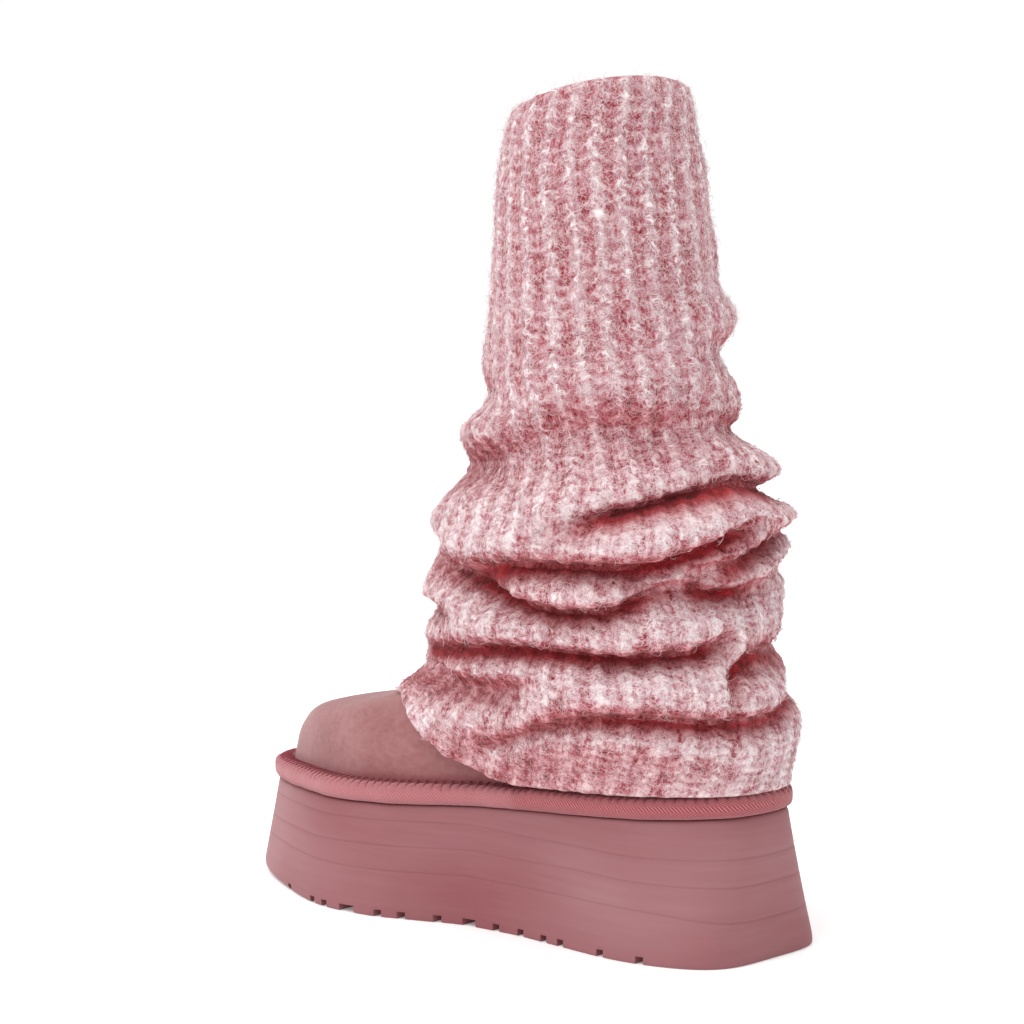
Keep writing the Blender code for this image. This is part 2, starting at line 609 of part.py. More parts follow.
def build_legwarmer():
    """Knitted tube slouched over the boot: one hollow wall with its folds."""
    count = 50
    turn = turns(count)
    levels = np.concatenate([np.linspace(0.0, 0.58, 36), np.linspace(0.64, 1.0, 6)])
    outer = knit_surface(levels[:, None], turn[None, :])
    deep = np.concatenate([np.arange(0, 35, 4), np.arange(36, 42, 1)])
    inner = knit_inside(levels[deep, None], turn[None, :])
    inner[0] = hem_surface(np.zeros(count), turn, np.full(count, KNIT_LIFT))
    inner[-1, :, 2] = outer[-1, :, 2] - KNIT_RIM_STEP
    return tube_solid("knit_legwarmer", outer, inner, (0.70, 0.36, 0.38, 1.0), 0.98)


def main():
    """Build every piece of the boot."""
    for body in list(bpy.data.objects):
        bpy.data.objects.remove(body, do_unlink=True)
    build_sole()
    build_tape()
    build_upper()
    build_insole()
    build_legwarmer()


main()
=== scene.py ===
"""Right platform suede boot with a slouched knitted leg warmer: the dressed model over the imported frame.

Angles round the boot ("turn") start at the back of the heel and pass the inner (medial, +X) side a
quarter turn on, the toe at half a turn and the outer side at three quarters. Lengths are in metres.
"""
import math

import bmesh
import bpy
import numpy as np
from bpy.props import FloatProperty, FloatVectorProperty, IntProperty, PointerProperty
from mathutils import Matrix, Vector


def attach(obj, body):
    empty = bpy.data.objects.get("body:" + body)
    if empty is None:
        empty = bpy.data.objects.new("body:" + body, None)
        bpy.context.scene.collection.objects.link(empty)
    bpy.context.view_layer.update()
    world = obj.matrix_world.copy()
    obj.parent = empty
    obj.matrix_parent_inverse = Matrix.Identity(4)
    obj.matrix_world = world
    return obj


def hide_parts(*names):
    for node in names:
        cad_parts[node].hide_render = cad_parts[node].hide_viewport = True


bl_info = {
    "name": "Platform boot with knitted leg warmer",
    "version": (1, 0, 0),
    "blender": (4, 5, 0),
    "location": "View3D > Sidebar > Boot",
    "description": "Builds the dressed boot over its packed frame",
    "category": "Object",
}

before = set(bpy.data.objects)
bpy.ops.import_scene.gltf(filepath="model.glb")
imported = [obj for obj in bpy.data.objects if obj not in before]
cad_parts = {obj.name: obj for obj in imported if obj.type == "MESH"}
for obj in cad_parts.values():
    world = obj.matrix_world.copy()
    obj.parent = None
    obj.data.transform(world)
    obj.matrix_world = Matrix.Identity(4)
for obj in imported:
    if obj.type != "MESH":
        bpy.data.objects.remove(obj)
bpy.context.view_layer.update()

MM = 0.001
GAP = 0.3 * MM                      # clearance between pieces that meet
TINY = 1e-12                        # keeps a length from being divided by nothing

# Points round each piece, and rows of it where they are even
SOLE_COLUMNS = 300
TAPE_COLUMNS, TAPE_ROWS = 1300, 26
UPPER_COLUMNS, UPPER_LEVELS = 220, 80
LINING_COLUMNS, LINING_LEVELS = 150, 60
INSOLE_COLUMNS, INSOLE_RINGS = 200, 40
KNIT_COLUMNS, KNIT_SAMPLES = 430, 5   # samples: rows of points in one course
ROOM_LEVELS, ROOM_COLUMNS = 61, 72   # coarse grid on which the room over the upper is measured
COLLAR_LEVEL = 14.0                  # level of the upper at its collar

# Sizes of the last and the sole, the same as in the frame
SOLE_TOP_LENGTH = 268.7 * MM
SOLE_TOP_WIDTH = 100.9 * MM
SOLE_FLARE_HEEL = 4.2 * MM
SOLE_FLARE_TOE = 5.7 * MM
SOLE_FLARE_SIDE = 9.6 * MM
SOLE_TOP_SHIFT = 1.39 * MM
SOLE_LINE_SHIFT = -2.7 * MM
DECK_HEEL = 56.4 * MM
DECK_TOE = 40.2 * MM
DECK_SAG = 1.4 * MM
TOE_SPRING = 1.0 * MM
TOE_SPRING_FROM = 0.70
EDGE_HEEL = 0.8 * MM
EDGE_TOE = 3.5 * MM
TOP_EDGE = 1.2 * MM
TREAD_DEPTH = 2.8 * MM
TAPE_HEIGHT = 8.6 * MM
TAPE_THICKNESS = 7.4 * MM
TAPE_STANDS_OUT = 2.0 * MM
TAPE_JOIN_SHARE = 0.37
UPPER_INSET = TAPE_THICKNESS - TAPE_STANDS_OUT + 1.5 * GAP
UPPER_LENGTH = SOLE_TOP_LENGTH - 2.0 * UPPER_INSET
UPPER_BALL_WIDTH = SOLE_TOP_WIDTH - 2.0 * UPPER_INSET
UPPER_HEIGHT = 104.0 * MM
UPPER_WALL = 3.2 * MM
UPPER_HEEL_Y = SOLE_TOP_SHIFT + 0.5 * UPPER_LENGTH
INSOLE_THICKNESS = 7.0 * MM
INSOLE_MARGIN = 2.0 * MM
KNIT_HEIGHT = 342.0 * MM
KNIT_WIDTH = 128.0 * MM
KNIT_WALL = 4.6 * MM
KNIT_HEM_BACK = 8.6 * MM
KNIT_HEM_FRONT = 5.0 * MM
KNIT_ROOM = 1.2 * MM
KNIT_LIFT = 0.8 * MM
RIM_MEDIAL_TILT = 2.4 * MM

# Camera that took the picture, fitted to the sole's edges
CAMERA_FROM = 133.5                 # degrees round the boot
CAMERA_DOWN = 5.4                   # degrees below level
CAMERA_PLACE = (853.8 * MM, 811.5 * MM, 276.5 * MM)
CAMERA_SENSOR = 36.0                # millimetres
CAMERA_LENS = 99.9                  # millimetres
FACING_TURN = math.radians(46.5)    # turn of the side that faces the camera

FLOOR_HALF = 4.0                     # metres from the middle of the floor to its edge
FLOOR_DROP = 0.2 * MM                # the floor lies this far below the sole, so that the faces don't flicker

# Outline of the foot. Columns: share of the length, medial and lateral half width, shares of half the width
OUTLINE = (
    (0.00, 0.949, 0.949),
    (0.12, 0.925, 0.925),
    (0.27, 0.800, 0.845),
    (0.36, 0.745, 0.840),
    (0.44, 0.760, 0.860),
    (0.52, 0.890, 0.905),
    (0.60, 1.035, 0.965),
    (0.70, 1.105, 1.020),
    (0.85, 1.000, 0.980),
    (1.00, 0.907, 0.900),
)
# How square the ends are: power of the sine. Columns: heel, toe
ROUNDNESS_TOP = (0.714, 0.792)
ROUNDNESS_GROUND = (0.450, 0.764)

# Shallow lines round the sole. Columns: share of the length, height shares of the three lines
SIDE_LINES = (
    (0.00, 0.720, 0.530, 0.290),
    (0.12, 0.737, 0.560, 0.365),
    (0.27, 0.780, 0.600, 0.390),
    (0.36, 0.800, 0.605, 0.395),
    (0.46, 0.845, 0.630, 0.410),
    (0.60, 0.855, 0.630, 0.410),
    (0.80, 0.848, 0.616, 0.415),
    (1.00, 0.850, 0.610, 0.420),
)

# Section of one line. Columns: place across it, share of its depth, share of the painted shade in it
LINE_SECTION = ((-1.0, 0.0, 0.0), (-0.45, 0.8, 0.7), (0.0, 1.0, 1.0), (0.45, 0.8, 0.7), (1.0, 0.0, 0.0))

# Gaps between the lugs. Columns: share of the length from the heel, width in millimetres
TREAD_GAPS = (
    (0.115, 3.4), (0.182, 3.4), (0.261, 3.4), (0.295, 3.4), (0.343, 3.4), (0.390, 3.4), (0.440, 6.6),
    (0.490, 3.4), (0.544, 3.4), (0.580, 3.4), (0.637, 8.0), (0.685, 3.4), (0.716, 3.4), (0.800, 3.4),
)

# Upper, one row for each section from the feather line to the collar.
# Columns: level, front, front_up, back, back_up, width, foot
UPPER_ROWS = (
    (0.0, 1.0000, -0.1500, 0.0000, 0.0040, 1.000, 1.00),
    (1.0, 0.9900, -0.0520, 0.0000, 0.1030, 1.000, 1.00),
    (2.0, 0.9800, 0.0220, -0.0010, 0.1980, 1.002, 0.98),
    (3.0, 0.9637, 0.0846, 0.0030, 0.2750, 0.985, 0.94),
    (4.0, 0.9451, 0.1322, 0.0090, 0.3520, 0.960, 0.88),
    (5.0, 0.9180, 0.1660, 0.0170, 0.4290, 0.935, 0.80),
    (6.0, 0.8733, 0.1930, 0.0270, 0.5010, 0.915, 0.70),
    (7.0, 0.8063, 0.2240, 0.0370, 0.5680, 0.905, 0.58),
    (8.0, 0.7255, 0.2700, 0.0460, 0.6350, 0.900, 0.45),
    (9.0, 0.6480, 0.3400, 0.0540, 0.6980, 0.900, 0.33),
    (10.0, 0.6026, 0.4440, 0.0610, 0.7600, 0.904, 0.22),
    (11.0, 0.5695, 0.5652, 0.0660, 0.8230, 0.912, 0.12),
    (12.0, 0.5404, 0.7020, 0.0700, 0.8860, 0.922, 0.05),
    (13.0, 0.5170, 0.8584, 0.0730, 0.9480, 0.930, 0.00),
    (14.0, 0.5004, 0.9970, 0.0750, 1.0060, 0.938, 0.00),
)

# Level of the knitted hem on the upper. Columns: share round from back to front, level
HEM_PATH = (
    (0.000, 0.87), (0.360, 0.89), (0.410, 1.14), (0.457, 1.59), (0.507, 2.05), (0.549, 2.85),
    (0.590, 4.00), (0.642, 5.45), (0.723, 6.80), (0.850, 7.90), (1.000, 8.40),
)

# Leg warmer without its folds. Columns: level, back, front, back_up, front_up, width, hem
KNIT_ROWS = (
    (0.00, 1.0630, -0.5000, 0.1950, 0.2500, 0.840, 1.00),
    (0.04, 1.0750, -0.3400, 0.2330, 0.2790, 0.885, 0.55),
    (0.08, 1.0830, -0.2700, 0.2690, 0.3010, 0.935, 0.12),
    (0.12, 1.0550, -0.2200, 0.3040, 0.3270, 0.945, 0.00),
    (0.17, 1.0306, -0.2000, 0.3420, 0.3540, 0.938, 0.00),
    (0.22, 1.0217, -0.2073, 0.3830, 0.3860, 0.938, 0.00),
    (0.27, 1.0200, -0.2050, 0.4270, 0.4270, 0.953, 0.00),
    (0.32, 1.0482, -0.1750, 0.4680, 0.4650, 0.992, 0.00),
    (0.36, 1.0515, -0.1670, 0.4970, 0.4910, 0.984, 0.00),
    (0.40, 1.0205, -0.1400, 0.5200, 0.5180, 0.922, 0.00),
    (0.44, 0.9800, -0.0990, 0.5470, 0.5440, 0.852, 0.00),
    (0.48, 0.9250, -0.0750, 0.5730, 0.5700, 0.805, 0.00),
    (0.52, 0.8800, -0.0460, 0.6020, 0.5940, 0.781, 0.00),
    (0.56, 0.8550, -0.0100, 0.6350, 0.6200, 0.758, 0.00),
    (0.61, 0.8180, 0.0140, 0.6730, 0.6550, 0.727, 0.00),
    (0.66, 0.8000, 0.0265, 0.7160, 0.6930, 0.719, 0.00),
    (0.73, 0.7755, 0.0400, 0.7750, 0.7430, 0.703, 0.00),
    (0.81, 0.7430, 0.0530, 0.8420, 0.8010, 0.672, 0.00),
    (0.88, 0.7200, 0.0630, 0.9010, 0.8570, 0.648, 0.00),
    (0.94, 0.6930, 0.0740, 0.9500, 0.9010, 0.602, 0.00),
    (0.975, 0.6800, 0.0880, 0.9800, 0.9300, 0.570, 0.00),
    (1.00, 0.6677, 0.1045, 1.0000, 0.9500, 0.539, 0.00),
)

# Creases of the knit, each with its half width in millimetres, then points along it. Columns of a point: turn
# in degrees, height, depth and droop of the lip above it in millimetres; a negative depth is a ridge
CREASES = (
    (8.0, ((-85, 252, 0, 0), (-45, 250, -4, 0), (-10, 249, -2, 0), (15, 249, 0, 0))),
    (7.0, ((-90, 231, 0, 0), (-45, 233, 5, 0), (-20, 234, 3, 0), (5, 235, 0, 0))),
    (7.0, ((100, 214, 0, 0), (128, 216, 4, 0), (150, 215, 4, 0), (175, 212, 0, 0))),
    (6.0, ((0, 228, 0, 0), (18, 229, -2.5, 0), (46, 228, -2.5, 0), (80, 226, -2.5, 0), (108, 224, -2, 0),
        (128, 222, 0, 0))),
    (4.5, ((-88, 200, 0, 0), (-45, 202, 4, 0.5), (-12, 204, 3, 0), (6, 205, 0, 0))),
    (10.5, ((-90, 200, 0, 0), (-45, 202, 0.5, 0), (-15, 204, 4, 0), (15, 204, 7.5, 0), (45, 203, 8, 0),
        (75, 198, 7, 0), (105, 191, 6, 0.5), (132, 187, 7, 1), (160, 187, 6, 1), (200, 186, 0, 0))),
    (7.0, ((-80, 191, 0, 0), (-45, 194, -2, 0), (-10, 195, -2, 0), (25, 196, 0, 0))),
    (7.5, ((90, 205, 0, 0), (130, 202, -4, 0), (165, 201, 0, 0))),
    (3.2, ((-72, 171, 0, 0), (-42, 172.5, -2.5, 0), (-12, 175, 0, 0))),
    (5.0, ((96, 178, 0, 0), (130, 177, -3, 0), (160, 177, 0, 0))),
    (4.5, ((105, 134, 0, 0), (132, 133, -4, 0), (165, 134, 0, 0))),
    (5.0, ((-80, 174, 0, 0), (-58, 177, 9, 0.5), (-40, 180, 12, 0.5), (-15, 182, 9, 1.5),
        (3, 185, 8.5, 2.5), (24, 182.5, 11, 2.8), (39, 179.5, 12, 3), (49, 176.5, 11, 3),
        (59, 173.5, 8, 3), (68, 170, 4, 3), (84, 166, 0, 2))),
    (5.0, ((-14, 169, 0, 0), (0, 169, 4, 1), (11, 167.5, 8, 2.5), (23, 162.5, 10, 2.8),
        (30, 160, 11, 2.8), (37, 157.5, 12, 2.8), (46, 155.5, 12, 2.8), (60, 155, 12, 2.8),
        (75, 154.5, 11, 2.8), (90, 153.5, 9.5, 2.5), (105, 151.5, 7.5, 2.5), (118, 152, 6, 2),
        (132, 156, 7.5, 1.5), (150, 158, 7, 2), (175, 160, 0, 0))),
    (4.0, ((-85, 158, 0, 0), (-60, 161, 3.5, 1), (-34, 164.5, 5, 1), (-16, 163.5, 8.5, 1.5),
        (-7, 161, 10, 1.5), (2, 158, 10, 1.5), (11, 155.5, 9, 1.5), (19, 154, 7, 1), (28, 152, 4, 1),
        (38, 151, 0, 0))),
    (4.0, ((-80, 150, 0, 0), (-55, 150, 4, 1), (-38, 150.5, 5.5, 1), (-20, 151, 4, 1), (-5, 151, 0, 0))),
    (4.8, ((-30, 146, 0, 0), (-12, 146, 4, 1), (2, 145, 6, 2), (8, 145, 9, 2.8), (14, 144.8, 10.5, 2.8),
        (19, 144.8, 10, 2.8), (25, 145.5, 7, 2), (32, 145.5, 5, 1.5), (38, 144.5, 6, 2),
        (44, 142, 8, 2.5), (50, 139.5, 10.5, 2.8), (57, 137.5, 12, 2.8), (69, 136.7, 12, 2.8),
        (78, 138, 12, 2.8), (87, 140, 11, 2.8), (96, 143.5, 10, 2.8), (108, 146, 8, 2.5),
        (126, 147, 5, 1.5), (142, 148, 4, 2), (168, 148, 0, 0))),
    (5.0, ((104, 127, 0, 0), (120, 128, 4, 1), (134, 129, 6.5, 1), (155, 130, 4, 1), (175, 131, 0, 0))),
    (4.8, ((6, 126, 0, 0), (14, 124.5, 5, 1.5), (20, 123, 8, 2.5), (27, 122, 11, 2.8),
        (38, 121.5, 12.5, 2.8), (50, 120.1, 12, 2.8), (62, 120.1, 10.5, 2.8), (76, 120.5, 9.5, 2.8),
        (90, 120.5, 9, 2.8), (108, 118, 9, 2.5), (129, 115, 11, 2), (145, 113, 9, 2), (165, 112, 0, 0))),
    (12.0, ((-90, 126, 0, 0), (-42, 127, 3.8, 0), (0, 127, 0, 0))),
    (6.0, ((-70, 116, 0, 0), (-45, 117, 4.5, 1), (-20, 117, 6.5, 2.5), (-4, 119, 8, 2.5),
        (4, 117, 9, 2.5), (10, 112, 7, 2.5), (16, 107, 0, 0))),
    (7.5, ((74, 106, 0, 0), (88, 103, 6, 1), (100, 101, 9, 1), (114, 101, 9, 1), (132, 102, 12, 1),
        (155, 99, 7, 1), (172, 96, 0, 0))),
    (5.0, ((-85, 107, 0, 0), (-50, 105.5, 6, 2), (-23, 100.5, 7.5, 3), (5, 94.5, 7.5, 3),
        (20, 94.5, 7.5, 3), (45, 96.5, 7.5, 3), (57, 95.5, 7, 3), (69, 92.5, 6, 3), (77, 88, 5, 3),
        (83, 81, 3, 3), (90, 74, 0, 0))),
    (8.0, ((-85, 66, 0, 0), (-42, 67, 3.5, 0), (-5, 66, 0, 0))),
    (5.5, ((145, 169, 0, 0), (180, 168, 8, 2.8), (215, 170, 9, 2.8), (250, 173, 8, 2.8), (285, 179, 0, 0))),
    (5.0, ((200, 159, 0, 0), (231, 157, 8, 2.8), (262, 155, 9, 2.8), (293, 153, 8, 2.8), (320, 151, 0, 0))),
    (5.0, ((164, 133, 0, 0), (193, 134, 8, 2.8), (222, 137, 9, 2.8), (251, 139, 8, 2.8), (280, 140, 0, 0))),
    (5.2, ((215, 118, 0, 0), (245, 120, 8, 2.8), (275, 121, 9, 2.8), (305, 123, 6, 2.8), (322, 124, 0, 0))),
    (5.5, ((188, 100, 0, 0), (225, 101, 6, 2.5), (258, 101, 7, 2.5), (291, 98, 6, 2.5), (320, 93, 0, 0))),
    (8.0, ((180, 196, 0, 0), (210, 197, 5, 1), (240, 198, 5, 1), (270, 200, 4, 1), (300, 202, 0, 0))),
)

# Width of one rib and the furrow beside it. Columns: height above the ground and width, in millimetres
RIB_WIDTHS = ((60.0, 12.6), (120.0, 12.2), (200.0, 11.5), (260.0, 10.9), (345.0, 9.8))


class BootSizes(bpy.types.PropertyGroup):
    """Sizes of the surface work, in metres."""
    fibre_count: IntProperty(name="Fibres", description="Loose fibres in each of three pieces", default=9000)


# Sizes a user would change. Columns: property, label, what it sets, millimetres
SIZE_ROWS = (
    ("course", "Course", "Height of one row of knitting", 5.1),
    ("rib_relief", "Rib relief", "How far a rib stands above its furrow", 0.6),
    ("yarn_relief", "Yarn relief", "How far a yarn stands above the gap below it", 0.75),
    ("fibre_length", "Fibre length", "Mean length of a loose fibre", 4.6),
    ("fibre_thickness", "Fibre thickness", "Radius of a fibre, thicker than a real one to show", 0.085),
    ("stitch_pitch", "Stitch pitch", "Distance between stitches along the tape", 4.0),
    ("thread", "Thread", "Radius of the sewing thread", 0.32),
    ("line_depth", "Line depth", "Depth of the lines round the sole", 0.22),
    ("pile", "Pile", "Height of the fleece's curls", 1.3),
)
for key, label, words, size in SIZE_ROWS:
    BootSizes.__annotations__[key] = FloatProperty(
        name=label, description=words, default=size * MM, unit="LENGTH"
    )


class BootColours(bpy.types.PropertyGroup):
    """Colours of the finishes."""


def hex_colour(code):
    """Linear colour of an sRGB hex value: each channel c is c/12.92 below 0.04045 and
    ((c + 0.055)/1.055)^2.4 above it."""
    value = np.array([int(code[i:i + 2], 16) for i in (1, 3, 5)]) / 255.0
    linear = np.where(value <= 0.04045, value / 12.92, ((value + 0.055) / 1.055) ** 2.4)
    return tuple(float(c) for c in linear)


# Colours a user would change. Columns: property, label, what it colours, sRGB value
COLOUR_ROWS = (
    ("wool_white", "Wool white", "Lightest fibres of the knit", "#F1E2E3"),
    ("wool_pale", "Wool pale", "Pale pink fibres of the knit", "#DDBCC0"),
    ("wool_rose", "Wool rose", "Rose fibres of the knit", "#C08A93"),
    ("wool_crimson", "Wool crimson", "Crimson fibres of the knit", "#A64854"),
    # wool_deep is the marl's darkest yarn; the painted shade in the knit's blend also pushes the yarn towards
    # it
    ("wool_deep", "Wool deep", "Yarn deep in the folds", "#7E1C27"),
    ("suede", "Suede", "Suede of the upper", "#864E4F"),
    ("suede_light", "Suede nap", "Nap brushed the other way", "#A06F6F"),
    ("tape", "Tape", "Twill of the tape", "#9C4A4F"),
    ("tape_light", "Tape ribs", "Ribs of the twill", "#C07C7E"),
    ("foam", "Foam", "Foam of the sole", "#8B5155"),
    # foam_light is the paler foam of the random bands and streaks, and also the painted light on the toe and
    # the heel
    ("foam_light", "Foam bloom", "Paler bands of the foam", "#9E7073"),
    ("fleece", "Fleece", "Fleece of insole and lining", "#DDB5B2"),
)
for key, label, words, code in COLOUR_ROWS:
    BootColours.__annotations__[key] = FloatVectorProperty(
        name=label, description=words, subtype="COLOR", size=3, min=0.0, max=1.0, default=hex_colour(code)
    )


def curve(places, values, at):
    """Smooth curve through a table that never overshoots it: cubic pieces whose slopes are the
    harmonic means of the neighbouring chords."""
    x = np.asarray(places, float)
    y = np.asarray(values, float)
    at = np.asarray(at, float)
    step = np.diff(x)
    chord = np.diff(y) / step
    slope = np.zeros_like(y)
    slope[0] = chord[0]
    slope[-1] = chord[-1]
    same = chord[:-1] * chord[1:] > 0.0
    before = np.where(same, chord[:-1], 1.0)
    after = np.where(same, chord[1:], 1.0)
    first = 2.0 * step[1:] + step[:-1]
    second = step[1:] + 2.0 * step[:-1]
    slope[1:-1] = np.where(same, (first + second) / (first / before + second / after), 0.0)
    cell = np.clip(np.searchsorted(x, at, side="right") - 1, 0, len(step) - 1)
    u = np.clip((at - x[cell]) / step[cell], 0.0, 1.0)
    rise = (1.0 - 2.0 * u + u * u) * u * step[cell] * slope[cell]
    fall = (u - 1.0) * u * u * step[cell] * slope[cell + 1]
    return y[cell] * (1.0 + 2.0 * u) * (1.0 - u) ** 2 + y[cell + 1] * u * u * (3.0 - 2.0 * u) + rise + fall


def from_table(table, index, at):
    """Column of a table, read as a smooth curve over its first column."""
    return curve([row[0] for row in table], [row[index] for row in table], at)


def turns(count, start=0.0):
    """Even angles round the boot."""
    return start + np.arange(count) * 2.0 * math.pi / count


def share_at(turn):
    """Share of the length from the heel at a turn: half of 1 less its cosine."""
    return 0.5 * (1.0 - np.cos(turn))


def unit(vectors):
    """Vectors divided by their lengths."""
    return vectors / np.maximum(np.linalg.norm(vectors, axis=-1, keepdims=True), TINY)


def smooth_step(value):
    """Rises from 0 to 1 with level ends: 3u^2 - 2u^3."""
    u = np.clip(value, 0.0, 1.0)
    return u * u * (3.0 - 2.0 * u)


def hump(value):
    """Bell curve exp(-v^2)."""
    return np.exp(-np.square(value))


def wobble(points, size, seed, stretch=(1.0, 1.0, 1.0), waves=18):
    """Smooth random field over space: a sum of sine waves of about one wavelength in random directions."""
    rng = np.random.default_rng(seed)
    away = rng.normal(size=(waves, 3))
    away /= np.linalg.norm(away, axis=1, keepdims=True)
    away *= rng.uniform(0.7, 1.4, size=(waves, 1)) / np.asarray(stretch)
    phase = rng.uniform(0.0, 2.0 * math.pi, size=waves)
    total = np.zeros(points.shape[:-1])
    for direction, start in zip(away, phase):
        total += np.sin(points @ (direction * 2.0 * math.pi / size) + start)
    return total / math.sqrt(0.5 * waves)


def deck_height(share):
    """Height of the sole's top face at a share of its length from the heel: a slope with a slight sag."""
    return DECK_HEEL + (DECK_TOE - DECK_HEEL) * share - DECK_SAG * np.sin(math.pi * share)


def deck_at(y):
    """Height of the sole's top face at a distance behind the origin."""
    heel = SOLE_TOP_SHIFT + 0.5 * SOLE_TOP_LENGTH
    return deck_height(np.clip((heel - y) / SOLE_TOP_LENGTH, -0.02, 1.02))


def ground_height(share):
    """Underside of the sole: flat, then the toe spring rising with the square of the way to the toe."""
    past = np.clip((share - TOE_SPRING_FROM) / (1.0 - TOE_SPRING_FROM), 0.0, 1.0)
    return TOE_SPRING * past ** 2


def outline(turn, grow_heel, grow_toe, grow_side, roundness):
    """Plan outline of the foot: the length falls with the cosine of the turn, the half width follows
    the outline table times a power of the sine. Returns x, y and the share of the length."""
    share = share_at(turn)
    power = roundness[0] + (roundness[1] - roundness[0]) * share
    medial = from_table(OUTLINE, 1, share)
    lateral = -from_table(OUTLINE, 2, share)
    side = np.where(np.sin(turn) >= 0.0, medial, lateral)
    half = 0.5 * SOLE_TOP_WIDTH + grow_side
    x = SOLE_LINE_SHIFT + side * np.abs(np.sin(turn)) ** power * half
    back = SOLE_TOP_SHIFT + 0.5 * SOLE_TOP_LENGTH + grow_heel
    length = SOLE_TOP_LENGTH + grow_heel + grow_toe
    return x, back - length * share, share


def inset_outline(turn, inset, share_up):
    """Outline of the sole's side wall at a share of its height (1 is the top), moved inwards by an inset."""
    down = 1.0 - share_up
    heel = SOLE_FLARE_HEEL * down - inset
    toe = SOLE_FLARE_TOE * down - inset
    side = SOLE_FLARE_SIDE * down - inset
    blend = [g * down + t * share_up for g, t in zip(ROUNDNESS_GROUND, ROUNDNESS_TOP)]
    return outline(turn, heel, toe, side, blend)


def even_turns(count, roundness=ROUNDNESS_TOP):
    """Angles whose points lie at even distances along the plan outline."""
    fine = np.linspace(0.0, 2.0 * math.pi, 4001)
    x, y, _ = outline(fine, 0.0, 0.0, 0.0, roundness)
    way = np.concatenate([[0.0], np.cumsum(np.hypot(np.diff(x), np.diff(y)))])
    return np.interp(np.arange(count) * way[-1] / count, way, fine), way[-1]


def ring_quads(rows, count, closed=False):
    """Quads between rings that follow each other upwards and outwards, facing away from the boot."""
    row = np.arange(rows if closed else rows - 1)[:, None]
    col = np.arange(count)[None, :]
    after = (col + 1) % count
    above = (row + 1) % rows
    quads = [row * count + col, above * count + col, above * count + after, row * count + after]
    return np.stack(np.broadcast_arrays(*quads), axis=-1).reshape(-1, 4)


def strip_faces(first, count, upwards):
    """Face strips across a ring whose opposite points lie at the same length: a cap that follows it, quads
    between and a triangle at each end."""
    i = np.arange(1, count // 2 - 1)
    left = first + i
    right = first + count - i
    quads = np.stack([left, left + 1, right - 1, right], axis=-1)
    half = first + count // 2
    ends = np.array([(first, first + 1, first + count - 1), (half - 1, half, half + 1)])
    return [quads, ends] if upwards else [quads[:, ::-1], ends[:, ::-1]]


def make_piece(name, points, faces, material, fields=None, uv=None, body="root"):
    """Piece from whole arrays: points, one or more arrays of faces, values for each point and texture
    places for each corner. It rides on the body and takes its finish from the slot."""
    mesh = bpy.data.meshes.new(name)
    groups = faces if isinstance(faces, list) else [faces]
    corners = np.concatenate([np.full(len(group), group.shape[1]) for group in groups])
    order = np.concatenate([group.ravel() for group in groups])
    mesh.vertices.add(len(points))
    mesh.vertices.foreach_set("co", np.asarray(points, np.float32).ravel())
    mesh.loops.add(len(order))
    mesh.loops.foreach_set("vertex_index", order.astype(np.int32))
    mesh.polygons.add(len(corners))
    mesh.polygons.foreach_set("loop_start", (np.cumsum(corners) - corners).astype(np.int32))
    mesh.update(calc_edges=True)
    for key, values in (fields or {}).items():
        layer = mesh.attributes.new(key, "FLOAT", "POINT")
        layer.data.foreach_set("value", np.asarray(values, np.float32).ravel())
    if uv is not None:
        layer = mesh.uv_layers.new(name="yarn")
        layer.data.foreach_set("uv", np.asarray(uv, np.float32).ravel())
    mesh.shade_smooth()
    piece = bpy.data.objects.new(name, mesh)
    bpy.context.scene.collection.objects.link(piece)
    mesh.materials.append(material)
    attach(piece, body)
    return piece


def clean_doubles(piece, distance=0.00001):
    """Merge points that lie together and drop the faces this leaves without area."""
    work = bmesh.new()
    work.from_mesh(piece.data)
    bmesh.ops.remove_doubles(work, verts=work.verts, dist=distance)
    bmesh.ops.dissolve_degenerate(work, edges=work.edges, dist=distance * 0.1)
    bmesh.ops.recalc_face_normals(work, faces=work.faces)
    work.to_mesh(piece.data)
    work.free()


def grid_normals(grid, closed=True):
    """Unit normals of a grid of rings, pointing away from the boot: across the ring times along the rows."""
    if closed:
        across = np.roll(grid, -1, axis=1) - np.roll(grid, 1, axis=1)
    else:
        across = np.gradient(grid, axis=1)
    along = np.gradient(grid, axis=0)
    return unit(np.cross(along, across))


# ---- materials

# Colours that stay as they are, sRGB
HAIR_WHITE = "#FDF4F3"
SUEDE_SEAM_AND_SHADE = "#8A3F47"
TAPE_SHADOW = "#8E434C"
TAPE_AT_TOE = "#BE8186"
FOAM_LINE_SHADE = "#7C4045"
FLEECE_ROOTS = "#B07F7E"
THREAD_RED = "#96464F"

# Painted shade: what a full underside shade and a full crease shade leave of the yarn's linear red, green and
# blue
UNDERSIDE_SHADE_TINT = (0.84, 0.30, 0.33)
CREASE_SHADE_TINT = (0.46, 0.030, 0.040)


def add_node(tree, kind, settings=None, values=None, links=None):
    """Shader node with its settings, the values of its sockets and the links into them."""
    made = tree.nodes.new(kind)
    for key, value in (settings or {}).items():
        setattr(made, key, value)
    for key, value in (values or {}).items():
        made.inputs[key].default_value = value
    for key, source in (links or {}).items():
        tree.links.new(source, made.inputs[key])
    return made


def new_material(name, roughness, sheen=0.0, specular=0.35):
    """Material with one Principled shader; returns it with its tree and shader."""
    material = bpy.data.materials.new(name)
    material.use_nodes = True
    tree = material.node_tree
    shader = tree.nodes["Principled BSDF"]
    shader.inputs["Roughness"].default_value = roughness
    shader.inputs["Specular IOR Level"].default_value = specular
    shader.inputs["Sheen Weight"].default_value = sheen
    return material, tree, shader


